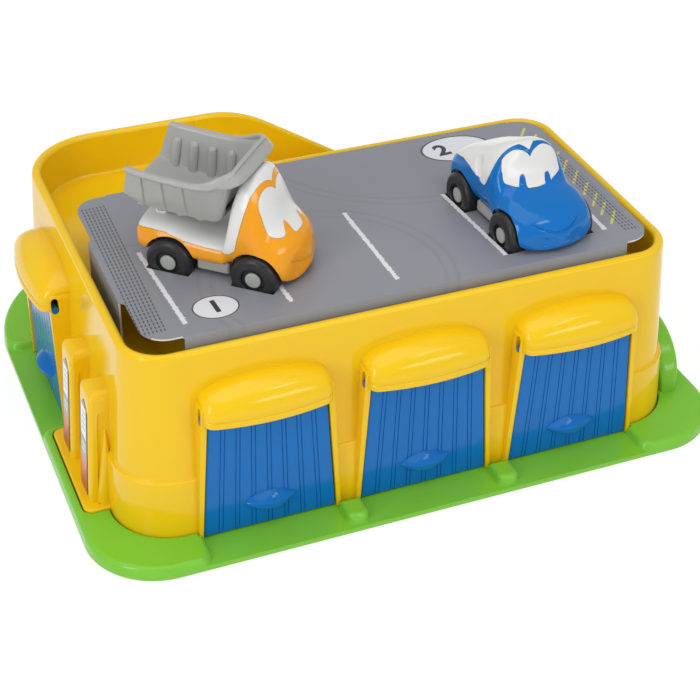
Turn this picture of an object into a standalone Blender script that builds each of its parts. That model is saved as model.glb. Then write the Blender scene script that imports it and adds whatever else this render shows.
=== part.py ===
"""Toy garage with four flap doors, a roof deck, a ramp, a display card and two toy vehicles.

Metres, +Z up. The origin is the bottom centre of the base, the doors face -Y.
Sizes are given in millimetres and turned into metres by `mm`.
"""
import bpy
import bmesh
from math import cos, pi, radians, sin, sqrt
from mathutils import Matrix, Vector

mm = 0.001

# Clearances
SEAT_GAP = 0.3 * mm          # between pieces that rest on each other
SIDE_GAP = 0.6 * mm          # beside the doors and round the body's foot
PIN_GAP = 0.25 * mm          # round a pin in its hole
THROUGH = 1 * mm             # how far a cutter runs past a face that it cuts through

# Base plate
BASE_WIDTH = 376 * mm
BASE_DEPTH = 319 * mm
BASE_FRONT_RADIUS = 41 * mm
BASE_BACK_RADIUS = 86 * mm
UNDER_EDGE = 0.8 * mm        # chamfer round the underside
DRIVE_TOP = 3.2 * mm         # level of the driveways and of the garage floor
KERB_TOP = 8.0 * mm          # level of the raised kerbs
KERB_ROUND = 3.0 * mm        # rounding of the kerbs' outer edge
KERB_SLOPE = 1.5 * mm        # how far a kerb's end leans
KERB_CLEAR = 0.3 * mm        # between the outer doors' edges and the kerbs' ends
SIDE_DRIVE_MARGIN = 2 * mm   # side driveway beyond the side door's jambs
DRIVE_RADIUS = 2 * mm
ISLET_WIDTH = 13 * mm        # small kerbs between the front doors
ISLET_DEPTH = 17 * mm
ISLET_RADIUS = 3 * mm
ISLET_ROUND = 2 * mm         # inset of an islet's rounded top edge
GUARD_THICKNESS = 12 * mm    # green guard round the foot of the ramp
GUARD_HEIGHT = 40 * mm
GUARD_NOSE = 40 * mm         # length over which its front end rises
GUARD_LEAD = 11.8 * mm       # straight run from the ramp's toe to the guard's bend
GUARD_EDGE = 3 * mm
GUARD_MARGIN = 3 * mm        # between the guard and the body's right wall
GUARD_START = 18 * mm        # its nose from the body's front
GUARD_END = 4.5 * mm         # its middle line from the landing's back
GUARD_TOE_GAP = 1 * mm       # between the ramp's toe and the guard's end
GUARD_NOSE_TOP = 2 * mm      # height of its nose above the kerb
GUARD_ROOT = 2 * mm          # how far it reaches into the base
NOSE_STEPS = 7
BEND_STEPS = 8

# Garage body
WALL = 2.5 * mm
FOOT = DRIVE_TOP + SEAT_GAP
LEFT_MARGIN = 19.2 * mm      # between the body's foot and the base's edge
RIGHT_MARGIN = 23.7 * mm
FRONT_MARGIN = 22.8 * mm
BACK_MARGIN = 30.6 * mm
BODY_LEFT = -BASE_WIDTH / 2 + LEFT_MARGIN
BODY_RIGHT = BASE_WIDTH / 2 - RIGHT_MARGIN
BODY_FRONT = -BASE_DEPTH / 2 + FRONT_MARGIN
LANDING_BACK = BASE_DEPTH / 2 - BACK_MARGIN     # lower back edge of the landing and the ramp
DECK_DEPTH = 191.8 * mm      # depth of the part under the card, at its foot
DECK_BACK = BODY_FRONT + DECK_DEPTH
LANDING_LENGTH = 128.8 * mm
LANDING_END = BODY_LEFT + LANDING_LENGTH        # where the ramp starts
FRONT_RADIUS = 33 * mm
DECK_BACK_RADIUS = 31 * mm
LANDING_RADIUS = 54 * mm
NOOK_RADIUS = 6 * mm         # inner corner between deck and ramp
RAMP_SIDE_RADIUS = 1 * mm    # landing's corner beside the ramp
BAND_TOP = 42 * mm           # top of the proud lower band
BAND_LEAN = 2.0 * mm
BAND_STEP = 2.2 * mm
BAND_EDGE = 1.5 * mm
RIM_RADIUS = 2.7 * mm
RIM_FLAT = 0.2 * mm          # flat top between the rim's two roundings
UPPER_LEAN = 5.3 * mm        # how far the upper wall leans in
PARAPET_LEAN = 0.4 * mm
PARAPET_HEIGHT = 27 * mm     # rim above the roof deck
FLOOR_FILLET = 2 * mm
CORNER_STEPS = 6

# Ramp
RAMP_SLOPE = 0.65
RAMP_EASE = 40 * mm          # length of the curve from the landing into the slope
RAMP_LIP = 0.4 * mm          # ramp's toe above the kerb
RAMP_STATIONS = 10
RAMP_ROOT = 14 * mm          # how far the ramp's form reaches back under the landing
RAMP_PROUD = 0.05 * mm       # ramp's outer face in front of the landing's
RAMP_SINK = 0.06 * mm        # its floor and rim below the landing's
RAMP_TOE_GUARD = 14 * mm     # guard height left at the toe
RAMP_TOE_EASE = 22 * mm

# Doors
DOOR_PITCH = 90 * mm
DOOR_FACE = BODY_FRONT - 1.3 * mm               # front face of the front doors
SIDE_DOOR_FACE = BODY_LEFT - 3.5 * mm
SIDE_DOOR_PLACE = 25 * mm    # middle of the side door along Y
DOOR_WIDTH_LOW = 75 * mm
DOOR_WIDTH_HIGH = 65 * mm
DOOR_LOW = 4.2 * mm
DOOR_HIGH = 80 * mm          # height of the hinge axis
FLOOR_TOP = DOOR_HIGH + 10 * mm                 # level of the roof deck
RIM_TOP = FLOOR_TOP + PARAPET_HEIGHT
DOOR_THICKNESS = 2.6 * mm
DOOR_BARREL = 1.9 * mm       # radius of the hinge barrel and its pins
PIN_REACH = 3.2 * mm         # how far a pin goes into its jamb
PLANKS = 8
GROOVE_WIDTH = 1.1 * mm
GROOVE_DEPTH = 0.6 * mm
HANDLE_WIDTH = 30 * mm
HANDLE_HEIGHT = 11 * mm
HANDLE_REACH = 7 * mm
HANDLE_LEVEL = 22 * mm
HANDLE_RISE = 1 * mm         # flat top above the middle of the ellipsoid
SLOT_HEIGHT = 9 * mm         # the pin slot above the pin
SLOT_STEPS = 6

# Jambs and hoods
JAMB_PROUD = 1.0 * mm        # jambs in front of the door face
JAMB_HALF_LOW = DOOR_WIDTH_LOW / 2 + 3.0 * mm
JAMB_HALF_HIGH = DOOR_WIDTH_HIGH / 2 + 4.7 * mm
JAMB_DEPTH = 17 * mm
HOOD_LOW = DOOR_HIGH - 1 * mm
HOOD_LIP = 4 * mm
HOOD_HIGH = DOOR_HIGH + 22.5 * mm
HOOD_SHOULDER = DOOR_HIGH + 8 * mm              # top of the hood at its ends
HOOD_HALF = JAMB_HALF_HIGH + 1.4 * mm
HOOD_REACH = 9 * mm          # how far the hood bulges in front of the jambs
HOOD_END = 2 * mm
HOOD_STATIONS = 11

# Pump island, moulded with the body
PUMP_PLACES = (-84.5 * mm, -45 * mm)
ISLAND_LEFT = BODY_LEFT - 13.7 * mm
ISLAND_FRONT = PUMP_PLACES[0] - 17 * mm
ISLAND_BACK = PUMP_PLACES[1] + 21 * mm
ISLAND_TOP = 9 * mm
ISLAND_RADIUS = 5 * mm
ISLAND_EDGE = 0.8 * mm
ISLAND_ROOT = 18 * mm        # how far island and pumps reach into the body's wall
PUMP_FACE = BODY_LEFT - 9.6 * mm                # outer face of a pump at its foot
PUMP_LEAN = 4.5 * mm
PUMP_WIDTH = 21 * mm
PUMP_TOP = 79 * mm
PUMP_TAPER = 0.6 * mm        # how much narrower a pump is below its rounded top
PUMP_CROWN = 5 * mm          # height and inset of the rounded top
PUMP_RADIUS = 4 * mm
NOZZLE_WIDTH = 8.5 * mm
NOZZLE_TOP = 56 * mm
NOZZLE_REACH = 2.4 * mm
NOZZLE_ROOT = 4 * mm         # how far the nozzle's form reaches into the pump
NOZZLE_PLACE = 9 * mm        # its middle from the pump's outer face
LABEL_WIDTH = PUMP_WIDTH - 7.5 * mm
LABEL_LOW = ISLAND_TOP + 3 * mm
LABEL_HIGH = PUMP_TOP - 8 * mm
LABEL_THICKNESS = 0.5 * mm

# Fixing screws and their bosses
BOSS_RADIUS = 4.5 * mm
PILOT_RADIUS = 1.5 * mm
PILOT_DEPTH = 14 * mm
SCREW_RADIUS = 1.3 * mm
SCREW_LENGTH = 12 * mm
SCREW_HEAD_RADIUS = 3.0 * mm
SCREW_HEAD_HEIGHT = 1.5 * mm
HEAD_RECESS = 0.3 * mm       # head below the underside
SCREW_GAP = 0.3 * mm         # round a screw in the base
BOSS_INSET = 14 * mm         # boss centres from the outer wall

# Display card
CARD_PROUD = 5.9 * mm        # top sheet above the rim
CARD_LEFT_ROOM = 7.8 * mm    # between the card and the parapet
CARD_RIGHT_ROOM = 5.7 * mm
CARD_BACK_ROOM = 9.6 * mm
CARD_TOP = RIM_TOP + CARD_PROUD
CARD_THICKNESS = 1.0 * mm
CARD_RADIUS = 16 * mm        # rounded corners of the top sheet
SLOT_MARGIN = 0.8 * mm       # beside a wheel in its slot

# Wheels, the same on both vehicles
WHEEL_RADIUS = 13 * mm
WHEEL_INNER = 15.5 * mm      # inner and outer wheel faces from the middle
WHEEL_OUTER = 26.5 * mm
WHEEL_ROUND = 3 * mm
WHEEL_DISH = 2.2 * mm        # depth of the recess round the axle head
WHEELBASE = 48.5 * mm
HUB_HEIGHT = 4.7 * mm        # above the card
AXLE_RADIUS = 2.0 * mm
AXLE_GAP = 0.2 * mm          # round the axle in a wheel
AXLE_HEAD = 4.4 * mm
AXLE_HEAD_HEIGHT = 1.4 * mm
WHEEL_RING = AXLE_HEAD + 2 * mm
WHEEL_STEPS = 16
ARCH_RADIUS = WHEEL_RADIUS + 1.6 * mm
ARCH_INNER = WHEEL_INNER - 1.3 * mm
CHASSIS_HALF = ARCH_INNER - 0.8 * mm
CHASSIS_REAR = -36 * mm
CHASSIS_FRONT = 34 * mm
SILL_HALF = 21.4 * mm        # grey sill between the wheels
SILL_STEP = 1.2 * mm
CHASSIS_LOW = HUB_HEIGHT - 3.5 * mm
CHASSIS_HIGH = HUB_HEIGHT + 4.8 * mm
SHELL_WALL = 1.8 * mm
INSERT_WALL = 2.2 * mm
SHELL_GAP = 0.3 * mm

# Where the middle of each vehicle's wheels stands on the card, and its heading
TRUCK_FROM_LEFT = 63.7 * mm
TRUCK_FROM_FRONT = 65.1 * mm
TRUCK_HEADING = radians(-42)
CAR_FROM_RIGHT = 60.1 * mm
CAR_FROM_FRONT = 50.8 * mm
CAR_HEADING = radians(-85.9)

# Tipper bed
BED_PIVOT = (-34 * mm, 28.5 * mm)    # along the truck, above the card
BED_PIN_RADIUS = 1.8 * mm
BED_LUG_HALF = 7 * mm
BED_LUG_WIDTH = 4 * mm
BED_LUG_BACK = 3.2 * mm      # lug round the pin
BED_LUG_FOOT = 22.5 * mm     # inside the truck's white deck
BED_TONGUE = 2.7 * mm        # radius of the bed's tongue round the pin
BED_TONGUE_TOP = 34.5 * mm   # inside the bed's floor
TONGUE_STEP = 0.05 * mm      # the tongue's round end is wider than its stem
BED_WALL = 2.0 * mm
BED_RAIL = 2.4 * mm


for leftover in list(bpy.data.objects):
    bpy.data.objects.remove(leftover, do_unlink=True)


def collection(name):
    made = bpy.data.collections.new(name)
    bpy.context.scene.collection.children.link(made)
    return made


PARTS = collection("toy_garage")
CUTTERS = collection("cutters")


def plastic(name, colour, roughness=0.3):
    material = bpy.data.materials.new(name)
    material.use_nodes = True
    shader = material.node_tree.nodes["Principled BSDF"]
    shader.inputs["Base Color"].default_value = (*colour, 1)
    shader.inputs["Roughness"].default_value = roughness
    material.diffuse_color = (*colour, 1)
    return material


YELLOW = plastic("yellow_plastic", (0.92, 0.60, 0.02))
GREEN = plastic("green_plastic", (0.22, 0.60, 0.04))
DOOR_BLUE = plastic("door_blue_plastic", (0.01, 0.13, 0.50))
CAR_BLUE = plastic("car_blue_plastic", (0.005, 0.12, 0.55))
ORANGE = plastic("orange_plastic", (0.90, 0.35, 0.02))
WHITE = plastic("white_plastic", (0.85, 0.85, 0.82))
GREY = plastic("grey_plastic", (0.30, 0.30, 0.28))
BLACK = plastic("black_plastic", (0.02, 0.02, 0.02), 0.45)
CARD = plastic("printed_card", (0.28, 0.29, 0.33), 0.5)
PAPER = plastic("label_paper", (0.80, 0.75, 0.72), 0.4)
STEEL = plastic("screw_steel", (0.5, 0.5, 0.5), 0.35)
STEEL.node_tree.nodes["Principled BSDF"].inputs["Metallic"].default_value = 1.0


def part(name, mesh, material):
    """A finished sub-part, in its own named object."""
    made = bpy.data.objects.new(name, mesh)
    mesh.materials.clear()
    mesh.materials.append(material)
    PARTS.objects.link(made)
    return made


def guide(name, mesh):
    """A solid that only shapes other solids."""
    made = bpy.data.objects.new(name, mesh)
    CUTTERS.objects.link(made)
    made.hide_render = True
    made.display_type = "WIRE"
    return made


def combine(target, tool, operation):
    modifier = target.modifiers.new(operation.lower(), "BOOLEAN")
    modifier.operation = operation
    modifier.solver = "EXACT"
    modifier.object = tool


def cut(target, *tools):
    for tool in tools:
        combine(target, tool, "DIFFERENCE")


def join(target, *tools):
    for tool in tools:
        combine(target, tool, "UNION")


def keep(target, *tools):
    for tool in tools:
        combine(target, tool, "INTERSECT")


def smooth(target, angle=35):
    target.data.shade_smooth()
    target.data.set_sharp_from_angle(angle=radians(angle))
    return target


def loft(name, rings):
    """Closed mesh through rings of equal length, with a face across each end."""
    mesh = bpy.data.meshes.new(name)
    work = bmesh.new()
    rows = [[work.verts.new(point) for point in ring] for ring in rings]
    count = len(rows[0])
    for low, high in zip(rows, rows[1:]):
        for i in range(count):
            k = (i + 1) % count
            work.faces.new((low[i], low[k], high[k], high[i]))
    work.faces.new(rows[0][::-1])
    work.faces.new(rows[-1])
    bmesh.ops.recalc_face_normals(work, faces=work.faces)
    bmesh.ops.triangulate(work, faces=work.faces)
    work.to_mesh(mesh)
    work.free()
    return mesh


def block(name, low, high):
    """Box between two corners."""
    mesh = bpy.data.meshes.new(name)
    work = bmesh.new()
    bmesh.ops.create_cube(work, size=1)
    size = Vector(high) - Vector(low)
    middle = (Vector(high) + Vector(low)) / 2
    bmesh.ops.scale(work, vec=size, verts=work.verts)
    bmesh.ops.translate(work, vec=middle, verts=work.verts)
    work.to_mesh(mesh)
    work.free()
    return mesh


def rod(name, start, end, radius, sides=20):
    """Cylinder between two points."""
    start, end = Vector(start), Vector(end)
    mesh = bpy.data.meshes.new(name)
    work = bmesh.new()
    bmesh.ops.create_cone(work, cap_ends=True, segments=sides, radius1=radius,
                          radius2=radius, depth=(end - start).length)
    turn = (end - start).to_track_quat("Z", "Y").to_matrix().to_4x4()
    work.transform(Matrix.Translation((start + end) / 2) @ turn)
    work.to_mesh(mesh)
    work.free()
    return mesh


def plate(name, outline, thickness, frame):
    """Flat outline given a thickness, then set in place by a matrix."""
    data = bpy.data.curves.new(name, "CURVE")
    data.dimensions = "2D"
    data.fill_mode = "BOTH"
    data.extrude = thickness / 2
    spline = data.splines.new("POLY")
    spline.points.add(len(outline) - 1)
    for point, (x, y) in zip(spline.points, outline):
        point.co = (x, y, 0, 1)
    spline.use_cyclic_u = True
    flat = bpy.data.objects.new(name, data)
    CUTTERS.objects.link(flat)
    bpy.context.view_layer.update()
    ready = flat.evaluated_get(bpy.context.evaluated_depsgraph_get())
    mesh = bpy.data.meshes.new_from_object(ready)
    bpy.data.objects.remove(flat, do_unlink=True)
    work = bmesh.new()
    work.from_mesh(mesh)
    bmesh.ops.remove_doubles(work, verts=work.verts, dist=0.001 * mm)
    bmesh.ops.recalc_face_normals(work, faces=work.faces)
    work.transform(frame)
    work.to_mesh(mesh)
    work.free()
    return mesh


def facing_front(y):
    """Frame for a plate whose outline is drawn as (X, Z)."""
    return Matrix.Translation((0, y, 0)) @ Matrix.Rotation(pi / 2, 4, "X")


def facing_side(x):
    """Frame for a plate whose outline is drawn as (Y, Z)."""
    return Matrix(((0, 0, 1, x), (1, 0, 0, 0), (0, 1, 0, 0), (0, 0, 0, 1)))


def outline(corners, inset, steps=CORNER_STEPS):
    """Rounded outline through axis-aligned corners (x, y, radius), moved inwards by inset."""
    points = []
    count = len(corners)
    for i, (x, y, radius) in enumerate(corners):
        back = corners[i - 1]
        ahead = corners[(i + 1) % count]
        came = Vector((x - back[0], y - back[1])).normalized()
        goes = Vector((ahead[0] - x, ahead[1] - y)).normalized()
        normal_in = Vector((-came.y, came.x))
        normal_out = Vector((-goes.y, goes.x))
        side = 1 if came.cross(goes) > 0 else -1
        bend = max(radius - side * inset, 0.4 * mm)
        spot = Vector((x, y)) + inset * (normal_in + normal_out)
        centre = spot + side * bend * (normal_in + normal_out)
        for step in range(steps + 1):
            t = pi / 2 * step / steps
            points.append(centre - side * bend * (normal_in * cos(t) + normal_out * sin(t)))
    return points


def prism(name, corners, levels, steps=CORNER_STEPS):
    """Solid whose outline is inset by a given amount at each level (z, inset)."""
    rings = [[(p.x, p.y, z) for p in outline(corners, inset, steps)] for z, inset in levels]
    return loft(name, rings)


def rectangle(left, right, front, back, radii):
    front_left, front_right, back_right, back_left = radii
    return [(left, front, front_left), (right, front, front_right),
            (right, back, back_right), (left, back, back_left)]


# Outer form of the body
def lean(z):
    """How far the outer wall stands in from its foot at height z."""
    if z <= BAND_TOP:
        return BAND_LEAN * (z - FOOT) / (BAND_TOP - FOOT)
    ledge = BAND_TOP + BAND_EDGE
    if z < ledge:
        return BAND_LEAN + BAND_STEP * (z - BAND_TOP) / BAND_EDGE
    return BAND_LEAN + BAND_STEP + UPPER_LEAN * (z - ledge) / (RIM_TOP - ledge)


BODY_CORNERS = [
    (BODY_LEFT, BODY_FRONT, FRONT_RADIUS),
    (BODY_RIGHT, BODY_FRONT, FRONT_RADIUS),
    (BODY_RIGHT, DECK_BACK, DECK_BACK_RADIUS),
    (LANDING_END, DECK_BACK, NOOK_RADIUS),
    (LANDING_END, LANDING_BACK, RAMP_SIDE_RADIUS),
    (BODY_LEFT, LANDING_BACK, LANDING_RADIUS),
]
RIM_START = RIM_TOP - RIM_RADIUS


def body_outside():
    levels = [(z, lean(z)) for z in (FOOT - 1.5 * mm, BAND_TOP, BAND_TOP + BAND_EDGE, RIM_START)]
    for step in (1, 2, 3):
        t = pi / 2 * step / 3
        levels.append((RIM_START + RIM_RADIUS * sin(t),
                       lean(RIM_START) + RIM_RADIUS * (1 - cos(t))))
    return prism("body_outside", BODY_CORNERS, levels)


def parapet_inset(z):
    """Inner face of the parapet, from the body's foot outline."""
    slant = (RIM_START - z) / (RIM_START - FLOOR_TOP)
    return lean(RIM_START) + 2 * RIM_RADIUS + RIM_FLAT + PARAPET_LEAN * slant


def deck_hollow():
    """The tray of the roof deck and the landing, open towards the ramp."""
    levels = [(FLOOR_TOP, parapet_inset(FLOOR_TOP) + FLOOR_FILLET),
              (FLOOR_TOP + 0.3 * FLOOR_FILLET, parapet_inset(FLOOR_TOP) + 0.3 * FLOOR_FILLET),
              (FLOOR_TOP + FLOOR_FILLET, parapet_inset(FLOOR_TOP)),
              (RIM_START, parapet_inset(RIM_START))]
    for step in (1, 2, 3):
        t = pi / 2 * step / 3
        levels.append((RIM_START + RIM_RADIUS * sin(t),
                       parapet_inset(RIM_START) - RIM_RADIUS * (1 - cos(t))))
    levels.append((RIM_TOP + 2 * mm, parapet_inset(RIM_START) - RIM_RADIUS))
    opened = parapet_inset(FLOOR_TOP) + FLOOR_FILLET + 2 * mm
    corners = [list(corner) for corner in BODY_CORNERS]
    corners[3][0] += opened
    corners[4][0] += opened
    return prism("deck_hollow", corners, levels)


def body_inside():
    """The room under the roof deck."""
    top = FLOOR_TOP - WALL
    levels = [(z, lean(max(z, FOOT)) + WALL) for z in
              (FOOT - 3 * mm, BAND_TOP, BAND_TOP + BAND_EDGE, top)]
    return prism("body_inside", BODY_CORNERS, levels)


# Ramp behind the deck
RAMP_DROP = FLOOR_TOP - KERB_TOP - RAMP_LIP
RAMP_LENGTH = RAMP_DROP / RAMP_SLOPE + RAMP_EASE / 2
RAMP_END = LANDING_END + RAMP_LENGTH


def ramp_fall(x):
    """How far the ramp lies below the landing at x."""
    run = x - LANDING_END
    if run <= 0:
        return 0.0
    if run < RAMP_EASE:
        return RAMP_SLOPE * run * run / (2 * RAMP_EASE)
    return RAMP_SLOPE * (run - RAMP_EASE / 2)


def ramp_section(x):
    """Ring round the ramp's floor and its outer guard at x."""
    floor = FLOOR_TOP - RAMP_SINK - ramp_fall(x)
    rim = RIM_TOP - RAMP_SINK - ramp_fall(x)
    late = max(0.0, (x - (RAMP_END - RAMP_TOE_EASE)) / RAMP_TOE_EASE)
    full = RIM_TOP - FLOOR_TOP
    rim -= (full - RAMP_TOE_GUARD) * late * late
    round_start = rim - RIM_RADIUS

    def outer(z):
        return LANDING_BACK - lean(z) + RAMP_PROUD

    face = outer(round_start)
    slant = (round_start - floor) / (RIM_START - FLOOR_TOP)
    guard_low = face - 2 * RIM_RADIUS - PARAPET_LEAN * slant
    deck_wall = DECK_BACK - lean(floor) - 0.4 * WALL
    under = floor - WALL * sqrt(1 + RAMP_SLOPE ** 2)
    low = FOOT - 1.2 * mm
    band_low = min(BAND_TOP, 0.5 * round_start)
    band_high = min(BAND_TOP + BAND_EDGE, 0.55 * round_start)
    ring = [(outer(z), z) for z in (low, band_low, band_high)]
    for step in range(6):
        t = pi * step / 5
        ring.append((face - RIM_RADIUS * (1 - cos(t)), round_start + RIM_RADIUS * sin(t)))
    ring += [(guard_low, floor), (deck_wall, floor), (deck_wall, under),
             (outer(under) - WALL, under), (outer(low) - WALL, low)]
    return [(x, y, z) for y, z in ring]


def ramp():
    stations = [LANDING_END - RAMP_ROOT, LANDING_END]
    for step in range(1, RAMP_STATIONS + 1):
        stations.append(LANDING_END + RAMP_LENGTH * step / RAMP_STATIONS)
    return loft("ramp", [ramp_section(x) for x in stations])


# Doors, jambs and hoods, drawn for a door in the middle of the front
def door_half(z):
    rise = (z - DOOR_LOW) / (DOOR_HIGH - DOOR_LOW)
    return (DOOR_WIDTH_LOW + (DOOR_WIDTH_HIGH - DOOR_WIDTH_LOW) * rise) / 2


BAY_FRAMES = {
    "front_left": Matrix.Translation((-DOOR_PITCH, DOOR_FACE, 0)),
    "front_middle": Matrix.Translation((0, DOOR_FACE, 0)),
    "front_right": Matrix.Translation((DOOR_PITCH, DOOR_FACE, 0)),
    "side": (Matrix.Translation((SIDE_DOOR_FACE, SIDE_DOOR_PLACE, 0))
             @ Matrix.Rotation(-pi / 2, 4, "Z")),
}
BARREL_Y = DOOR_BARREL       # hinge axis behind the door face


def jamb_block():
    top = HOOD_LOW + HOOD_LIP
    trapezoid = [(-JAMB_HALF_LOW, FOOT - THROUGH), (JAMB_HALF_LOW, FOOT - THROUGH),
                 (JAMB_HALF_HIGH, top), (-JAMB_HALF_HIGH, top)]
    middle = -JAMB_PROUD + JAMB_DEPTH / 2
    return plate("jambs", trapezoid, JAMB_DEPTH, facing_front(middle))


def hood(grow):
    """Visor over a door; grow is negative for the hollow inside it."""
    half = HOOD_HALF + grow
    rings = []
    for step in range(HOOD_STATIONS):
        x = half * sin(pi * (step / (HOOD_STATIONS - 1) - 0.5))
        across = min(abs(x) / half, 1.0)
        swell = sqrt(max(1 - across ** 4, 0.0))
        front = -JAMB_PROUD - 0.25 * HOOD_END - (HOOD_REACH - 0.25 * HOOD_END) * swell - grow
        crown = sqrt(max(1 - across ** 2.5, 0.0))
        high = HOOD_SHOULDER + (HOOD_HIGH - HOOD_SHOULDER) * crown + grow
        low = HOOD_LOW if grow >= 0 else HOOD_LOW - 2 * THROUGH
        lip = HOOD_LOW + HOOD_LIP
        wall_y = BODY_FRONT - DOOR_FACE + lean(high) - grow
        back = JAMB_DEPTH - 3 * mm if grow >= 0 else wall_y + THROUGH
        ring = [(x, back, low), (x, front, low), (x, front, lip)]
        for turn in (1, 2, 3):
            t = pi / 2 * turn / 3
            ring.append((x, wall_y + (front - wall_y) * cos(t), lip + (high - lip) * sin(t)))
        ring.append((x, back, high))
        rings.append(ring)
    return loft("hood", rings)


def doorway():
    """Opening through the wall, with room for the hinge barrel behind the lip."""
    grow = SIDE_GAP
    top = DOOR_HIGH + DOOR_BARREL + SIDE_GAP
    low = FOOT - 2 * THROUGH
    shape = [(-door_half(low) - grow, low), (door_half(low) + grow, low),
             (door_half(top) + grow, top), (-door_half(top) - grow, top)]
    return plate("doorway", shape, 2 * JAMB_DEPTH + 10 * mm, facing_front(5 * mm))


def pin_slot():
    """Upright slots for both pins, through both jambs."""
    radius = DOOR_BARREL + PIN_GAP
    shape = []
    for start, level in ((pi, DOOR_HIGH), (0, DOOR_HIGH + SLOT_HEIGHT)):
        for step in range(SLOT_STEPS + 1):
            t = start + pi * step / SLOT_STEPS
            shape.append((BARREL_Y + radius * cos(t), level + radius * sin(t)))
    return plate("pin_slot", shape, 2 * (HOOD_HALF + 2 * mm), facing_side(0))


def door_mesh():
    """Planked panel whose outline narrows towards the hinge barrel."""
    low, high = DOOR_LOW, DOOR_HIGH
    rings = []
    for z in (low, high):
        half = door_half(z)
        ring = [(-half, DOOR_THICKNESS, z), (-half, 0, z)]
        for groove in range(1, PLANKS):
            middle = half * (2 * groove / PLANKS - 1)
            ring += [(middle - GROOVE_WIDTH / 2, 0, z), (middle, GROOVE_DEPTH, z),
                     (middle + GROOVE_WIDTH / 2, 0, z)]
        ring += [(half, 0, z), (half, DOOR_THICKNESS, z)]
        rings.append(ring)
    return loft("door_panel", rings)


def handle_mesh():
    """Half-ellipsoid ledge, flat on top."""
    mesh = bpy.data.meshes.new("handle")
    work = bmesh.new()
    bmesh.ops.create_uvsphere(work, u_segments=16, v_segments=8, radius=1)
    bmesh.ops.scale(work, vec=(HANDLE_WIDTH / 2, HANDLE_REACH, HANDLE_HEIGHT), verts=work.verts)
    bmesh.ops.translate(work, vec=(0, 0.8 * mm, HANDLE_LEVEL), verts=work.verts)
    work.to_mesh(mesh)
    work.free()
    return mesh


handle_guide = guide("handle_form", handle_mesh())
handle_low = (-HANDLE_WIDTH, -HANDLE_WIDTH, HANDLE_LEVEL + HANDLE_RISE)
handle_high = (HANDLE_WIDTH, HANDLE_WIDTH, HANDLE_LEVEL + HANDLE_WIDTH)
cut(handle_guide, guide("handle_top", block("handle_top", handle_low, handle_high)))
behind_low = (-HANDLE_WIDTH, DOOR_THICKNESS / 2, 0)
behind_high = (HANDLE_WIDTH, HANDLE_WIDTH, DOOR_HIGH)
cut(handle_guide, guide("handle_back", block("handle_back", behind_low, behind_high)))
pin_half = door_half(DOOR_HIGH) + SIDE_GAP + PIN_REACH
barrel_guide = guide("hinge_barrel", rod("hinge_barrel", (-pin_half, BARREL_Y, DOOR_HIGH),
                                         (pin_half, BARREL_Y, DOOR_HIGH), DOOR_BARREL, 12))


def finished_mesh(made):
    """Mesh of an object with its modifiers applied; the object is removed."""
    bpy.context.view_layer.update()
    ready = made.evaluated_get(bpy.context.evaluated_depsgraph_get())
    mesh = bpy.data.meshes.new_from_object(ready)
    bpy.data.objects.remove(made, do_unlink=True)
    return mesh


door_form = guide("door_form", door_mesh())
join(door_form, handle_guide, barrel_guide)
door_shape = finished_mesh(door_form)

hinge = Vector((0, BARREL_Y, DOOR_HIGH))
for bay, frame in BAY_FRAMES.items():
    shape = door_shape.copy()
    shape.transform(Matrix.Translation(-hinge))
    door = part("door_" + bay, shape, DOOR_BLUE)
    door.matrix_world = frame @ Matrix.Translation(hinge)

# Garage body
body = part("garage_body", body_outside(), YELLOW)
hollow = guide("deck_hollow", deck_hollow())
inside = guide("body_inside", body_inside())

# Pump island and pumps
island_corners = rectangle(ISLAND_LEFT, BODY_LEFT + ISLAND_ROOT, ISLAND_FRONT, ISLAND_BACK,
                           (ISLAND_RADIUS,) * 4)
island_levels = [(FOOT - ISLAND_EDGE, 0), (ISLAND_TOP - ISLAND_EDGE, 0), (ISLAND_TOP, ISLAND_EDGE)]
join(body, guide("pump_island", prism("pump_island", island_corners, island_levels, 4)))


PUMP_FOOT = ISLAND_TOP - 2 * mm


def pump_lean(z):
    return PUMP_LEAN * (z - ISLAND_TOP) / (PUMP_TOP - ISLAND_TOP)


def pump_taper(z):
    return PUMP_TAPER * (z - PUMP_FOOT) / (PUMP_TOP - PUMP_CROWN - PUMP_FOOT)


def pump(place):
    """One pump column with its rounded top."""
    corners = rectangle(PUMP_FACE, BODY_LEFT + ISLAND_ROOT,
                        place - PUMP_WIDTH / 2, place + PUMP_WIDTH / 2,
                        (PUMP_RADIUS, 1 * mm, 1 * mm, PUMP_RADIUS))
    rings = []
    for z, inset in ((PUMP_FOOT, 0), (PUMP_TOP - PUMP_CROWN, PUMP_TAPER),
                     (PUMP_TOP - 0.3 * PUMP_CROWN, 0.4 * PUMP_CROWN), (PUMP_TOP, PUMP_CROWN)):
        rings.append([(p.x + pump_lean(z), p.y, z) for p in outline(corners, inset, 3)])
    return loft("pump", rings)


def nozzle(place):
    """Tapered nozzle on the front face of a pump."""
    front = place - PUMP_WIDTH / 2
    root = front + NOZZLE_ROOT
    rings = []
    for z, half, reach in ((PUMP_FOOT, NOZZLE_WIDTH / 2, NOZZLE_REACH),
                           (NOZZLE_TOP, NOZZLE_WIDTH / 10, NOZZLE_REACH / 6)):
        middle = PUMP_FACE + NOZZLE_PLACE + pump_lean(z)
        rings.append([(middle - half, root, z), (middle - half, front, z),
                      (middle - half / 2, front - reach, z), (middle + half / 2, front - reach, z),
                      (middle + half, front, z), (middle + half, root, z)])
    return loft("nozzle", rings)


for number, place in enumerate(PUMP_PLACES, 1):
    join(body, guide(f"pump_{number}", pump(place)), guide(f"nozzle_{number}", nozzle(place)))

hood_outer = hood(0)
hood_inner = hood(-WALL)
jamb_shape = jamb_block()
doorway_shape = doorway()
slot_shape = pin_slot()


def placed(name, shape, frame):
    made = guide(name, shape)
    made.matrix_world = frame
    return made


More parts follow.
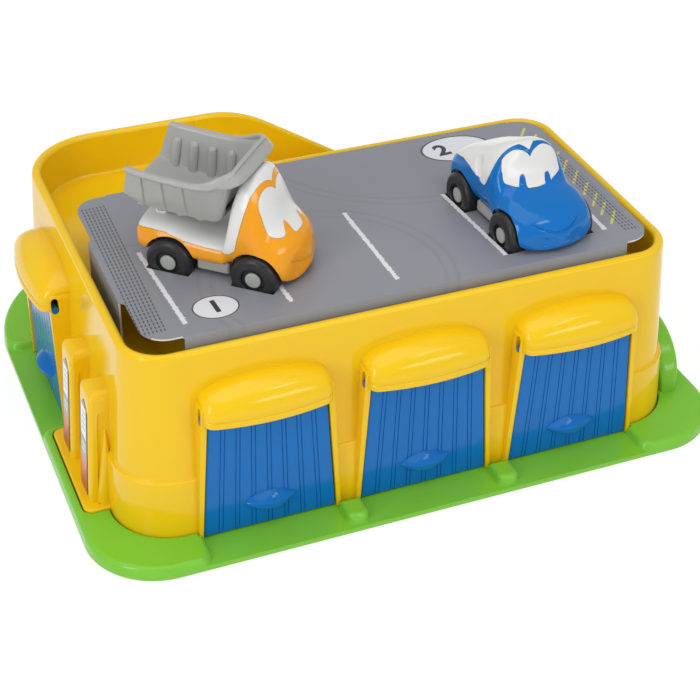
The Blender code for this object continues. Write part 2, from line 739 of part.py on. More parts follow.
for bay, frame in BAY_FRAMES.items():
    join(body, placed("jambs_" + bay, jamb_shape, frame), placed("hood_" + bay, hood_outer, frame))
cut(body, hollow, inside)
for bay, frame in BAY_FRAMES.items():
    cut(body, placed("hood_room_" + bay, hood_inner, frame),
        placed("doorway_" + bay, doorway_shape, frame), placed("slots_" + bay, slot_shape, frame))
join(body, guide("ramp_form", ramp()))

# Bosses that the fixing screws go into
BOSS_PLACES = [
    (-DOOR_PITCH / 2, BODY_FRONT + BOSS_INSET),
    (DOOR_PITCH / 2, BODY_FRONT + BOSS_INSET),
    (BODY_RIGHT - BOSS_INSET, 0),
    (BODY_RIGHT - 2 * BOSS_INSET, DECK_BACK - BOSS_INSET),
    (LANDING_END - BOSS_INSET, LANDING_BACK - BOSS_INSET),
    (BODY_LEFT + 2 * BOSS_INSET, LANDING_BACK - 2 * BOSS_INSET),
]
for number, (x, y) in enumerate(BOSS_PLACES, 1):
    boss = rod("boss", (x, y, FOOT - 0.6 * mm), (x, y, FLOOR_TOP - WALL / 2), BOSS_RADIUS, 14)
    pilot = rod("pilot", (x, y, FOOT - 2 * mm), (x, y, FOOT + PILOT_DEPTH), PILOT_RADIUS, 10)
    join(body, guide(f"boss_{number}", boss))
    cut(body, guide(f"pilot_{number}", pilot))
foot_trim = block("foot_trim", (-BASE_WIDTH, -BASE_DEPTH, FOOT - 10 * mm), (BASE_WIDTH, BASE_DEPTH, FOOT))
cut(body, guide("foot_trim", foot_trim))
smooth(body, 30)

# Base plate
base_corners = rectangle(-BASE_WIDTH / 2, BASE_WIDTH / 2, -BASE_DEPTH / 2, BASE_DEPTH / 2,
                         (BASE_FRONT_RADIUS, BASE_FRONT_RADIUS, BASE_BACK_RADIUS, BASE_BACK_RADIUS))
base_levels = [(0, UNDER_EDGE), (UNDER_EDGE, 0), (KERB_TOP - KERB_ROUND, KERB_ROUND / 6),
               (KERB_TOP - 0.3 * KERB_ROUND, 0.45 * KERB_ROUND), (KERB_TOP, KERB_ROUND)]
base = part("base_plate", prism("base_plate", base_corners, base_levels, 8), GREEN)
room_top = KERB_TOP + THROUGH
room_levels = [(DRIVE_TOP, -SIDE_GAP), (room_top, -SIDE_GAP)]
ramp_room = block("ramp_room", (LANDING_END - RAMP_ROOT, DECK_BACK - DECK_BACK_RADIUS, DRIVE_TOP),
                  (RAMP_END + SIDE_GAP, LANDING_BACK + SIDE_GAP, room_top))
cut(base, guide("footprint", prism("footprint", BODY_CORNERS, room_levels)),
    guide("ramp_room", ramp_room),
    guide("island_room", prism("island_room", island_corners, room_levels, 4)))


def drive(name, left, right, front, back):
    """Room above a driveway, wider at the top."""
    corners = rectangle(left, right, front, back, (DRIVE_RADIUS,) * 4)
    return guide(name, prism(name, corners, [(DRIVE_TOP, 0), (room_top, -KERB_SLOPE)], 3))


kerb_end = DOOR_PITCH + door_half(DOOR_LOW) + KERB_CLEAR
side_half = JAMB_HALF_LOW + SIDE_DRIVE_MARGIN
front_drive = drive("front_drive", -kerb_end, kerb_end, -BASE_DEPTH, BODY_FRONT + WALL)
side_drive = drive("side_drive", -BASE_WIDTH, BODY_LEFT + WALL,
                   SIDE_DOOR_PLACE - side_half, SIDE_DOOR_PLACE + side_half)
cut(base, front_drive, side_drive)
jamb_room = block("jamb_room", (-JAMB_HALF_LOW - SIDE_GAP, -JAMB_PROUD - SIDE_GAP, DRIVE_TOP),
                  (JAMB_HALF_LOW + SIDE_GAP, JAMB_DEPTH, room_top))
for bay, frame in BAY_FRAMES.items():
    cut(base, placed("jamb_room_" + bay, jamb_room, frame))
islet_back = DOOR_FACE - JAMB_PROUD - SIDE_GAP
islet_levels = [(DRIVE_TOP - THROUGH, 0), (KERB_TOP - 0.75 * ISLET_ROUND, 0.2 * ISLET_ROUND),
                (KERB_TOP, ISLET_ROUND)]
for x in (-DOOR_PITCH / 2, DOOR_PITCH / 2):
    corners = rectangle(x - ISLET_WIDTH / 2, x + ISLET_WIDTH / 2, islet_back - ISLET_DEPTH, islet_back,
                        (ISLET_RADIUS, ISLET_RADIUS, ISLET_RADIUS / 6, ISLET_RADIUS / 6))
    join(base, guide("islet", prism("islet", corners, islet_levels, 4)))


def guard_line():
    """Middle line of the green guard, from its nose to the ramp's outer guard."""
    x = BODY_RIGHT + GUARD_MARGIN + GUARD_THICKNESS / 2
    end_y = LANDING_BACK - GUARD_END
    nose_y = BODY_FRONT + GUARD_START
    bend = x - (RAMP_END + GUARD_LEAD)
    straight = end_y - bend
    points = []
    for step in range(NOSE_STEPS + 1):
        points.append((x, nose_y + GUARD_NOSE * (1 - cos(pi / 2 * step / NOSE_STEPS))))
    points.append((x, straight))
    for step in range(1, BEND_STEPS + 1):
        t = pi / 2 * step / BEND_STEPS
        points.append((x - bend * (1 - cos(t)), straight + bend * sin(t)))
    points.append((RAMP_END + GUARD_TOE_GAP, end_y))
    return points


def guard():
    """Guard with a rounded top and a nose that rises from the base."""
    line = [Vector(point) for point in guard_line()]
    nose = line[0].y
    rings = []
    for i, spot in enumerate(line):
        before = line[max(i - 1, 0)]
        after = line[min(i + 1, len(line) - 1)]
        along = (after - before).normalized()
        across = Vector((along.y, -along.x))
        reach = min(max((spot.y - nose) / GUARD_NOSE, 0.0), 1.0) if i <= NOSE_STEPS else 1.0
        nose_top = KERB_TOP + GUARD_NOSE_TOP
        top = nose_top + (GUARD_HEIGHT - nose_top) * sqrt(1 - (1 - reach) ** 2)
        half = GUARD_THICKNESS / 2 * (0.55 + 0.45 * sqrt(1 - (1 - min(4 * reach, 1.0)) ** 2))
        edge = min(GUARD_EDGE, 0.45 * (top - KERB_TOP) + 0.5 * mm)
        low = KERB_TOP - GUARD_ROOT
        section = [(half, low), (half, top - edge), (half - 0.3 * edge, top - 0.3 * edge),
                   (half - edge, top), (-half + edge, top), (-half + 0.3 * edge, top - 0.3 * edge),
                   (-half, top - edge), (-half, low)]
        rings.append([(spot.x + across.x * s, spot.y + across.y * s, z) for s, z in section])
    return loft("guard", rings)


join(base, guide("guard_form", guard()))
head_top = HEAD_RECESS + SCREW_HEAD_HEIGHT
for number, (x, y) in enumerate(BOSS_PLACES, 1):
    below = (x, y, -THROUGH)
    shank_hole = rod("shank_hole", below, (x, y, KERB_TOP), SCREW_RADIUS + SCREW_GAP, 10)
    head_hole = rod("head_hole", below, (x, y, head_top + SCREW_GAP), SCREW_HEAD_RADIUS + SCREW_GAP, 14)
    cut(base, guide(f"shank_hole_{number}", shank_hole), guide(f"head_hole_{number}", head_hole))
    head = rod("screw_head", (x, y, HEAD_RECESS), (x, y, head_top), SCREW_HEAD_RADIUS, 14)
    shank = rod("shank", (x, y, head_top - SCREW_HEAD_HEIGHT / 2), (x, y, HEAD_RECESS + SCREW_LENGTH),
                SCREW_RADIUS, 10)
    join(part(f"base_screw_{number}", head, STEEL), guide(f"shank_{number}", shank))
smooth(base, 30)

# Labels on the pumps
for number, place in enumerate(PUMP_PLACES, 1):
    rings = []
    for z in (LABEL_LOW, LABEL_HIGH):
        back = PUMP_FACE + pump_lean(z) + pump_taper(z) - SEAT_GAP
        face = back - LABEL_THICKNESS
        low_y, high_y = place - LABEL_WIDTH / 2, place + LABEL_WIDTH / 2
        rings.append([(back, low_y, z), (back, high_y, z), (face, high_y, z), (face, low_y, z)])
    part(f"pump_label_{number}", loft("pump_label", rings), PAPER)


# Edges of the display card
deck_inset = parapet_inset(FLOOR_TOP)
card_left = BODY_LEFT + deck_inset + CARD_LEFT_ROOM
card_right = BODY_RIGHT - deck_inset - CARD_RIGHT_ROOM
card_front = BODY_FRONT + deck_inset + SEAT_GAP
card_back = DECK_BACK - deck_inset - CARD_BACK_ROOM


# Vehicles: along, side and height are measured from the middle of the wheels on the card
def vehicle_frame(x, y, heading):
    return Matrix.Translation((x, y, CARD_TOP)) @ Matrix.Rotation(heading, 4, "Z")


TRUCK = vehicle_frame(card_left + TRUCK_FROM_LEFT, card_front + TRUCK_FROM_FRONT, TRUCK_HEADING)
CAR = vehicle_frame(card_right - CAR_FROM_RIGHT, card_front + CAR_FROM_FRONT, CAR_HEADING)


FORM_POINTS = 16
FORM_POWER = 0.55            # squareness of a vehicle's cross-section
FRONT_SWELL = 3.0            # how far a vehicle's front swells in its middle, in millimetres
SWELL_START = 10             # along the vehicle, where the swelling begins
SWELL_RUN = 20               # and over what length it grows


def form(name, stations, inset=0.0):
    """Body form along a vehicle: stations are (along, half width, low, high, half width at the top)."""
    rings = []
    first, last = stations[0][0], stations[-1][0]
    middle = (first + last) / 2
    shrink = 1 - 2 * inset / (last - first)
    for along, half, low, high, top_half in stations:
        a = middle + (along - middle) * shrink
        swell = FRONT_SWELL * min(max((along - SWELL_START) / SWELL_RUN, 0.0), 1.0)
        ring = []
        for k in range(FORM_POINTS):
            t = 2 * pi * (k + 0.5) / FORM_POINTS
            up = abs(sin(t)) ** FORM_POWER * (1 if sin(t) > 0 else -1)
            out = abs(cos(t)) ** FORM_POWER * (1 if cos(t) > 0 else -1)
            z = (low + high) / 2 + ((high - low) / 2 - inset) * up
            rise = max(0.0, up)
            width = half + (top_half - half) * rise - inset
            ring.append(((a + swell * (1 - out * out)) * mm, out * width * mm, z * mm))
        rings.append(ring)
    return loft(name, rings)


GLASS_TAPER = 0.28           # windscreens narrow towards the roof
VEHICLE_REACH = 60 * mm      # more than any side of a vehicle, for what cuts right through
SKIN_INSET = 0.02            # between the shell's outer form and the white pieces', in millimetres

# Stations of both bodies, in millimetres
TRUCK_STATIONS = [
    (-44.5, 19.5, 8.5, 21.5, 18.5), (-42.5, 22, 6.5, 24.5, 21), (-34, 24.2, 6, 25.5, 22),
    (-24, 24.5, 6, 24.5, 22), (-14, 23.8, 6, 21.5, 22), (0, 23.5, 6, 20, 21.5),
    (6, 23.5, 6, 20.5, 21), (10, 23.5, 6, 46, 18.5), (14, 23.5, 5.5, 56, 17),
    (19, 23.8, 5, 57, 16.5), (24, 24.2, 4, 50, 16.5), (30, 24.5, 3, 34, 18),
    (35, 24, 2.2, 28.5, 18.5), (39.5, 22, 1.8, 24, 17), (42.3, 18, 2.5, 19, 14), (43.5, 12, 5, 14, 9),
]
CAR_STATIONS = [
    (-43.5, 14, 9, 20, 11), (-41.5, 20, 6.5, 24.5, 17), (-35, 23.5, 5.5, 29, 19),
    (-25, 24.2, 5.5, 34, 18.5), (-15, 23.8, 5.5, 39, 17.5), (-5, 23.5, 5.5, 44, 16.5),
    (2, 23.5, 5.5, 46, 16), (6, 23.8, 5, 44, 16.5), (10, 24, 4.5, 35, 18.5),
    (15, 24.8, 4, 27, 20.5), (24, 26.2, 3, 24, 23.5), (31, 26, 2, 21.5, 23),
    (36.5, 24.3, 1.8, 18.3, 21), (40.3, 21, 1.8, 15, 17.5), (42.6, 15.5, 2.5, 12, 13),
    (43.5, 9.5, 4, 9.5, 8),
]
# Where the white insert shows, as side outlines in millimetres
TRUCK_OPEN = [(-60, 21.5), (-44, 21), (-34, 21.5), (-26, 21), (-16, 18), (-4, 16.6), (10.5, 16.2),
              (13.4, 18.5), (17.2, 35), (20.4, 48), (22.5, 55), (24, 60), (24, 75), (-60, 75)]
CAR_OPEN = [(-60, 22), (-41.5, 22.5), (-35, 26.5), (-25, 29.5), (-15, 28.5), (-5, 26), (1.5, 24),
            (3.5, 28), (4.6, 34), (5, 40), (4.4, 45), (4.4, 60), (-60, 60)]


def along_plate(name, points, half):
    """Side outline (along, height) in millimetres, across the whole vehicle."""
    shape = [(a * mm, z * mm) for a, z in points]
    return plate(name, shape, 2 * half, facing_front(0))


def windscreen_outline(half, low, high, dip, inset):
    """Two arches side by side over a flat foot, in millimetres, seen from the front."""
    wide, foot, top = half - inset, low + inset, high - inset
    bend = 3
    spring = top - wide / 2
    points = [(bend - wide - bend * cos(t), foot + bend - bend * sin(t)) for t in (0, pi / 4, pi / 2)]
    points += [(wide - bend + bend * sin(t), foot + bend - bend * cos(t)) for t in (0, pi / 4, pi / 2)]
    for middle, steps in ((wide / 2, range(9)), (-wide / 2, range(1, 9))):
        for step in steps:
            t = pi * step / 8
            points.append((middle + wide / 2 * cos(t), spring + wide / 2 * sin(t)))
    shaped = []
    for x, z in points:
        if abs(x) < wide / 3:
            z = max(z, dip - inset)
        narrowing = 1 - GLASS_TAPER * (z - low) / (high - low)
        shaped.append((x * narrowing * mm, z * mm))
    return shaped


def windscreen(name, half, low, high, dip, inset, behind):
    """Prism through the windscreen opening, from `behind` forwards."""
    shape = windscreen_outline(half, low, high, dip, inset)
    return plate(name, shape, VEHICLE_REACH, facing_side(behind + VEHICLE_REACH / 2))


def arches(name):
    """Room for the wheels on both sides and both axles."""
    made = []
    for along in (-WHEELBASE / 2, WHEELBASE / 2):
        for side in (-1, 1):
            made.append(guide(name, rod(name, (along, side * ARCH_INNER, HUB_HEIGHT),
                                        (along, side * VEHICLE_REACH, HUB_HEIGHT), ARCH_RADIUS, 20)))
    return made


def settle(made, frame):
    """Bake the modifiers and set the mesh in its place."""
    name = made.name
    material = made.data.materials[0]
    mesh = finished_mesh(made)
    mesh.transform(frame)
    mesh.materials.clear()
    ready = part(name, mesh, material)
    return smooth(ready, 30)


def vehicle_bodies(name, stations, opening, glass, shell_colour, frame):
    """Coloured shell, white insert and chassis of one vehicle."""
    half, low, high, dip, behind = glass
    wheel_room = arches(name + "_arch")
    floor_room = CHASSIS_HIGH + SEAT_GAP
    belly_half = SILL_HALF + SIDE_GAP

    shell = part(name + "_shell", form("shell", stations), shell_colour)
    belly = block("belly", (CHASSIS_REAR - 2 * mm, -belly_half, -VEHICLE_REACH),
                  (CHASSIS_FRONT + 2 * mm, belly_half, floor_room))
    cut(shell, guide(name + "_shell_room", form("room", stations, SHELL_WALL / mm)),
        guide(name + "_open", along_plate("open", opening, VEHICLE_REACH)),
        guide(name + "_glass", windscreen("glass", half, low, high, dip, 0, behind)),
        guide(name + "_belly", belly), *wheel_room)

    grow = SHELL_GAP / mm
    insert = part(name + "_insert", form("insert", stations, SHELL_WALL / mm + 2 * grow), WHITE)
    upper = guide(name + "_upper", form("upper", stations, SKIN_INSET))
    pulled = [(a - 1.2 * grow, z + 1.2 * grow) for a, z in opening]
    keep(upper, guide(name + "_upper_space", along_plate("upper_space", pulled, VEHICLE_REACH)))
    pane = guide(name + "_pane", form("pane", stations, SKIN_INSET))
    pane_space = windscreen("pane_space", half, low, high, dip, grow, behind)
    keep(pane, guide(name + "_pane_space", pane_space))
    join(insert, upper, pane)
    under = block("under", (-VEHICLE_REACH, -VEHICLE_REACH, -VEHICLE_REACH),
                  (VEHICLE_REACH, VEHICLE_REACH, floor_room))
    cut(insert, guide(name + "_under", under), *wheel_room)
    insert_room = form("insert_room", stations, (SHELL_WALL + 2 * SHELL_GAP + INSERT_WALL) / mm)
    cut(insert, guide(name + "_insert_room", insert_room))

    chassis = part(name + "_chassis", block("chassis", (CHASSIS_REAR, -CHASSIS_HALF, CHASSIS_LOW),
                                            (CHASSIS_FRONT, CHASSIS_HALF, CHASSIS_HIGH)), GREY)
    sill_end = WHEELBASE / 2 - ARCH_RADIUS - SIDE_GAP
    join(chassis, guide(name + "_sill", block("sill", (-sill_end, -SILL_HALF, CHASSIS_LOW + SILL_STEP),
                                              (sill_end, SILL_HALF, CHASSIS_HIGH - SILL_STEP / 2))))
    for along in (-WHEELBASE / 2, WHEELBASE / 2):
        bore = rod("bore", (along, -VEHICLE_REACH, HUB_HEIGHT), (along, VEHICLE_REACH, HUB_HEIGHT),
                   AXLE_RADIUS + PIN_GAP, 12)
        cut(chassis, guide(name + "_bore", bore))
    return shell, insert, chassis


def wheel_mesh(side):
    """Turned wheel about the side axis; side is +1 on the left."""
    inner, outer = WHEEL_INNER, WHEEL_OUTER
    bore = AXLE_RADIUS + AXLE_GAP
    dish = outer - WHEEL_DISH
    profile = [
        (bore, dish), (WHEEL_RING, dish), (WHEEL_RING + 0.8 * mm, outer),
        (WHEEL_RADIUS - WHEEL_ROUND, outer),
        (WHEEL_RADIUS - 0.3 * WHEEL_ROUND, outer - 0.3 * WHEEL_ROUND),
        (WHEEL_RADIUS, outer - WHEEL_ROUND), (WHEEL_RADIUS, inner + WHEEL_ROUND / 2),
        (WHEEL_RADIUS - WHEEL_ROUND / 2, inner), (bore, inner),
    ]
    return turned("wheel", profile, side)


def turned(name, profile, side):
    """Profile (radius, height) turned about Z by a Screw modifier, then laid along the side axis."""
    mesh = bpy.data.meshes.new(name)
    work = bmesh.new()
    row = [work.verts.new((radius, 0, height)) for radius, height in profile]
    for a, b in zip(row, row[1:] + row[:1]):
        work.edges.new((a, b))
    work.to_mesh(mesh)
    work.free()
    made = guide(name, mesh)
    screw = made.modifiers.new("turn", "SCREW")
    screw.steps = WHEEL_STEPS
    screw.render_steps = WHEEL_STEPS
    screw.use_merge_vertices = True
    screw.merge_threshold = 0.00001
    solid = finished_mesh(made)
    work = bmesh.new()
    work.from_mesh(solid)
    bmesh.ops.remove_doubles(work, verts=work.verts, dist=0.00001)
    work.transform(Matrix.Rotation(-side * pi / 2, 4, "X"))
    bmesh.ops.recalc_face_normals(work, faces=work.faces)
    work.to_mesh(solid)
    work.free()
    return solid


def axle(name, frame, along):
    """Grey axle with a round head at each end."""
    head = WHEEL_OUTER - WHEEL_DISH + SEAT_GAP
    end = head + AXLE_HEAD_HEIGHT
    root = head + AXLE_HEAD_HEIGHT / 3
    made = part(name, rod("axle", (0, -root, 0), (0, root, 0), AXLE_RADIUS, 12), GREY)
    for side in (-1, 1):
        cap = rod("axle_head", (0, side * head, 0), (0, side * end, 0), AXLE_HEAD, 16)
        join(made, guide(name + "_head", cap))
    return settle(made, frame @ Matrix.Translation((along, 0, HUB_HEIGHT)))


def running_gear(name, frame):
    for end, along in (("rear", -WHEELBASE / 2), ("front", WHEELBASE / 2)):
        axle(f"{name}_axle_{end}", frame, along)
        for label, side in (("left", 1), ("right", -1)):
            mesh = wheel_mesh(side)
            made = part(f"{name}_wheel_{end}_{label}", mesh, BLACK)
            mesh.transform(frame @ Matrix.Translation((along, 0, HUB_HEIGHT)))
            smooth(made, 40)


TRUCK_GLASS = (17.5, 28, 50.5, 45.5, 12 * mm)
CAR_GLASS = (18, 25, 42.5, 37.5, 3 * mm)

truck_shell, truck_insert, truck_chassis = vehicle_bodies(
    "truck", TRUCK_STATIONS, TRUCK_OPEN, TRUCK_GLASS, ORANGE, TRUCK)
# Lugs that carry the tipper bed
pivot_along, pivot_height = BED_PIVOT
for side in (-1, 1):
    inner, outer = sorted((side * BED_LUG_HALF, side * (BED_LUG_HALF + BED_LUG_WIDTH)))
    lug = block("truck_lug", (pivot_along - BED_LUG_BACK, inner, BED_LUG_FOOT),
                (pivot_along + BED_LUG_BACK, outer, pivot_height + BED_LUG_BACK))
    join(truck_insert, guide("truck_lug", lug))
lug_bore = rod("lug_bore", (pivot_along, -VEHICLE_REACH, pivot_height),
               (pivot_along, VEHICLE_REACH, pivot_height), BED_PIN_RADIUS + PIN_GAP, 12)
cut(truck_insert, guide("lug_bore", lug_bore))
for made in (truck_shell, truck_insert, truck_chassis):
    settle(made, TRUCK)
running_gear("truck", TRUCK)

# Tipper bed: stations are (along at the floor, floor, along at the rail, rail, half at floor, half at rail)
BED_STATIONS = [
    (-49.5, 38, -44, 59, 22.5, 26.5), (-38, 33.5, -37, 58.2, 22, 27), (-24, 32, -24, 57.2, 21.5, 27.3),
    (-8, 31, -8, 56.6, 21, 27.3), (0, 30.5, 2.5, 57.6, 20.5, 26.8), (3.5, 31.5, 9, 60.2, 19.5, 25),
    (5, 34, 13, 62.6, 18.5, 22),
]


def bed():
    wall = BED_WALL / mm
    rail = BED_RAIL / mm
    rings = []
    for floor_a, floor_z, rail_a, rail_z, floor_half, rail_half in BED_STATIONS:
        def at(share, half, z_add=0.0):
            a = floor_a + (rail_a - floor_a) * share
            z = floor_z + (rail_z - floor_z) * share
            return (a * mm, half * mm, (z + z_add) * mm)

        right = [at(0, floor_half - 2), at(0.08, floor_half), at(0.88, rail_half - 1),
                 at(0.88, rail_half + rail), at(1, rail_half + rail - 0.5), at(1, rail_half - wall),
                 at(0.1, floor_half - wall, wall), at(0, floor_half - wall - 1.5, wall)]
        left = [(a, -s, z) for a, s, z in right[::-1]]
        rings.append(right + left)
    return loft("bed", rings)


# Headboard: side and height of its corners in millimetres, leaning over the cab
HEADBOARD = [(-19.5, 32), (19.5, 32), (24.5, 57), (22.5, 63), (14, 65), (-14, 65), (-22.5, 63),
             (-24.5, 57)]
HEADBOARD_LEAN = 0.36
HEADBOARD_FOOT = -10 * mm    # where its plane would meet the card
tipper = part("truck_tipper_bed", bed(), GREY)
leaning = Matrix(((0, HEADBOARD_LEAN, 1, HEADBOARD_FOOT), (1, 0, 0, 0), (0, 1, 0, 0), (0, 0, 0, 1)))
head_outline = [(side * mm, height * mm) for side, height in HEADBOARD]
join(tipper, guide("headboard", plate("headboard", head_outline, BED_RAIL, leaning)))
tongue_half = BED_LUG_HALF - SEAT_GAP
tongue = block("bed_tongue", (pivot_along - BED_TONGUE, -tongue_half, pivot_height),
               (pivot_along + BED_TONGUE, tongue_half, BED_TONGUE_TOP))
tongue_round = rod("tongue_round", (pivot_along, -tongue_half - TONGUE_STEP, pivot_height),
                   (pivot_along, tongue_half + TONGUE_STEP, pivot_height), BED_TONGUE, 16)
pin_reach = BED_LUG_HALF + BED_LUG_WIDTH
bed_pin = rod("bed_pin", (pivot_along, -pin_reach, pivot_height), (pivot_along, pin_reach, pivot_height),
              BED_PIN_RADIUS, 12)
join(tipper, guide("bed_tongue", tongue), guide("tongue_round", tongue_round), guide("bed_pin", bed_pin))
settle(tipper, TRUCK)

car_shell, car_insert, car_chassis = vehicle_bodies(
    "car", CAR_STATIONS, CAR_OPEN, CAR_GLASS, CAR_BLUE, CAR)
for made in (car_shell, car_insert, car_chassis):
    settle(made, CAR)
running_gear("car", CAR)

# Display card: a folded lid that stands on the deck, with slots for the wheels
card_foot = FLOOR_TOP + SEAT_GAP
sheet = rectangle(card_left, card_right, card_front, card_back, (CARD_RADIUS,) * 4)
card = part("display_card", prism("display_card", sheet, [(card_foot, 0), (CARD_TOP, 0)], 8), CARD)
card_room = prism("card_room", sheet, [(card_foot - THROUGH, CARD_THICKNESS),
                                       (CARD_TOP - CARD_THICKNESS, CARD_THICKNESS)], 8)
cut(card, guide("card_room", card_room))
for x in (card_left, card_right):
    for y in (card_front, card_back):
        corner = block("open_corner", (x - CARD_RADIUS, y - CARD_RADIUS, card_foot - THROUGH),
                       (x + CARD_RADIUS, y + CARD_RADIUS, CARD_TOP - 0.9 * CARD_THICKNESS))
        cut(card, guide("open_corner", corner))
front_foot = block("front_foot", (card_left - THROUGH, card_front - THROUGH, card_foot - THROUGH),
                   (card_right + THROUGH, card_front + CARD_RADIUS, card_foot + FLOOR_FILLET))
cut(card, guide("front_foot", front_foot))
slot_half = sqrt(WHEEL_RADIUS ** 2 - HUB_HEIGHT ** 2) + SEAT_GAP
for frame in (TRUCK, CAR):
    for along in (-WHEELBASE / 2, WHEELBASE / 2):
        for side in (-1, 1):
            near, far = sorted((side * (WHEEL_INNER - SLOT_MARGIN), side * (WHEEL_OUTER + SLOT_MARGIN)))
            slot = block("wheel_slot", (along - slot_half, near, -HUB_HEIGHT),
                         (along + slot_half, far, HUB_HEIGHT))
            slot.transform(frame)
            cut(card, guide("wheel_slot", slot))
smooth(card, 30)
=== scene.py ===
"""Toy garage on a white studio floor: base, body, flap doors, printed card, tipper truck and car."""
from math import acos, atan2, cos, pi, radians, sin, sqrt

import bmesh
import bpy
from mathutils import Matrix, Vector
from mathutils.bvhtree import BVHTree


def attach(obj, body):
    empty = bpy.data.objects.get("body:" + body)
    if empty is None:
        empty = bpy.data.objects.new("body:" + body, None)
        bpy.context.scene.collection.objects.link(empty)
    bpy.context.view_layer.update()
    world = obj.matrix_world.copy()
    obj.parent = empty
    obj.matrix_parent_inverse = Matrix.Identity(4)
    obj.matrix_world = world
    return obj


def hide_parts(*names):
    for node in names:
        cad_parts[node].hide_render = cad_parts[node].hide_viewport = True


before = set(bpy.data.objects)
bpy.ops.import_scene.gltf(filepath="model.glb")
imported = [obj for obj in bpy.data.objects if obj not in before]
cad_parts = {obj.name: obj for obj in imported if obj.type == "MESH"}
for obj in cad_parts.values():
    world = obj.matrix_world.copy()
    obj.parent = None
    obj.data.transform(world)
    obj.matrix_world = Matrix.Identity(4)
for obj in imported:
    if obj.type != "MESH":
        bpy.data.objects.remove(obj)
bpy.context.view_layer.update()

# Studio
# The garage stands on a seamless pale table in front of a white backdrop. A wide overhead panel, two
# soft boxes and a small strip light it evenly, and the camera looks down on its front left corner.
MM = 0.001
PICTURE_SIDE = 700
SENSOR = 36.0
FOCAL_PIXELS = 1633.05
CAMERA_PLACE = Vector((-0.3041, -0.76935, 0.58922))
CAMERA_TURN = radians(-22.306)
CAMERA_RISE = radians(35.331)
CAMERA_ROLL = radians(0.768)


def added(name, data):
    """A new object for some data, linked into the scene."""
    made = bpy.data.objects.new(name, data)
    bpy.context.scene.collection.objects.link(made)
    return made


backward = Vector((sin(CAMERA_TURN) * cos(CAMERA_RISE), -cos(CAMERA_TURN) * cos(CAMERA_RISE),
                   sin(CAMERA_RISE)))
level_right = (-backward).cross(Vector((0, 0, 1))).normalized()
level_up = level_right.cross(-backward)
right = level_right * cos(CAMERA_ROLL) + level_up * sin(CAMERA_ROLL)
up = level_up * cos(CAMERA_ROLL) - level_right * sin(CAMERA_ROLL)
camera_data = bpy.data.cameras.new("camera")
camera_data.sensor_width = SENSOR
camera_data.lens = FOCAL_PIXELS * SENSOR / PICTURE_SIDE
camera = added("camera", camera_data)
camera.matrix_world = Matrix.Translation(CAMERA_PLACE) @ Matrix((right, up, backward)).transposed().to_4x4()
bpy.context.scene.camera = camera
bpy.context.scene.view_settings.view_transform = "Standard"


def soft_box(name, place, target, width, height, watts):
    data = bpy.data.lights.new(name, "AREA")
    data.shape = "RECTANGLE"
    data.size = width
    data.size_y = height
    data.energy = watts
    aim = (Vector(target) - Vector(place)).to_track_quat("-Z", "Y")
    added(name, data).matrix_world = Matrix.Translation(place) @ aim.to_matrix().to_4x4()


soft_box("overhead_panel", (-0.2, -0.1, 1.5), (0, 0, 0.1), 1.5, 1.2, 6.6)
soft_box("left_box", (-1.25, -0.75, 0.75), (0, 0, 0.08), 0.35, 0.9, 5.8)
soft_box("front_box", (0.55, -1.45, 0.8), (0, 0, 0.08), 0.9, 0.25, 3.9)
soft_box("small_strip", (0.5, -0.75, 1.45), (0, 0, 0.05), 0.5, 0.14, 1.4)


def feed(tree, socket, value):
    """Give a shader input a number, a colour or another node's output."""
    if isinstance(value, bpy.types.NodeSocket):
        tree.links.new(value, socket)
    else:
        socket.default_value = value


def node(tree, kind, settings=None, **inputs):
    """A shader node; inputs are numbers, colours or sockets by name, with _ for a space."""
    made = tree.nodes.new("ShaderNode" + kind)
    for key, value in (settings or {}).items():
        setattr(made, key, value)
    for key, value in inputs.items():
        feed(tree, made.inputs[key.replace("_", " ")], value)
    return made


def calc(tree, operation, *values, clamp=False):
    """A Math node's result."""
    made = node(tree, "Math", {"operation": operation, "use_clamp": clamp})
    for socket, value in zip(made.inputs, values):
        feed(tree, socket, value)
    return made.outputs[0]


def drawn(work, name="form"):
    """The mesh of a finished bmesh."""
    mesh = bpy.data.meshes.new(name)
    work.to_mesh(mesh)
    work.free()
    return mesh


WORLD_LIGHT = 0.55
world = bpy.data.worlds.new("white_studio")
world.use_nodes = True
tree = world.node_tree
tree.nodes.clear()
camera_ray = node(tree, "LightPath").outputs["Is Camera Ray"]
strength = calc(tree, "MULTIPLY_ADD", camera_ray, 1 - WORLD_LIGHT, WORLD_LIGHT)
lit = node(tree, "Background", Color=(1, 1, 1, 1), Strength=strength)
tree.links.new(lit.outputs[0], node(tree, "OutputWorld").inputs["Surface"])
bpy.context.scene.world = world

FLOOR_SHADE = 0.35                # how much of the floor's own light and shadow the camera sees
FLOOR_GLOW = 1.16
FLOOR_DROP = 0.0004
floor_paint = bpy.data.materials.new("studio_floor")
floor_paint.use_nodes = True
tree = floor_paint.node_tree
tree.nodes.clear()
path = node(tree, "LightPath").outputs
either = calc(tree, "MAXIMUM", path["Is Camera Ray"], path["Is Glossy Ray"])
direct = calc(tree, "MAXIMUM", either, path["Is Transmission Ray"])
grain = node(tree, "TexNoise", Scale=9.0, Detail=3.0)
tone = node(tree, "MapRange", Value=grain.outputs["Fac"], To_Min=0.9, To_Max=0.93)
paint = node(tree, "BsdfDiffuse", Color=tone.outputs[0])
glow = node(tree, "Emission", Color=(1, 1, 1, 1), Strength=FLOOR_GLOW)
share = calc(tree, "MULTIPLY", direct, 1 - FLOOR_SHADE)
mixed = node(tree, "MixShader")
for socket, value in zip(mixed.inputs, (share, paint.outputs[0], glow.outputs[0])):
    feed(tree, socket, value)
tree.links.new(mixed.outputs[0], node(tree, "OutputMaterial").inputs["Surface"])

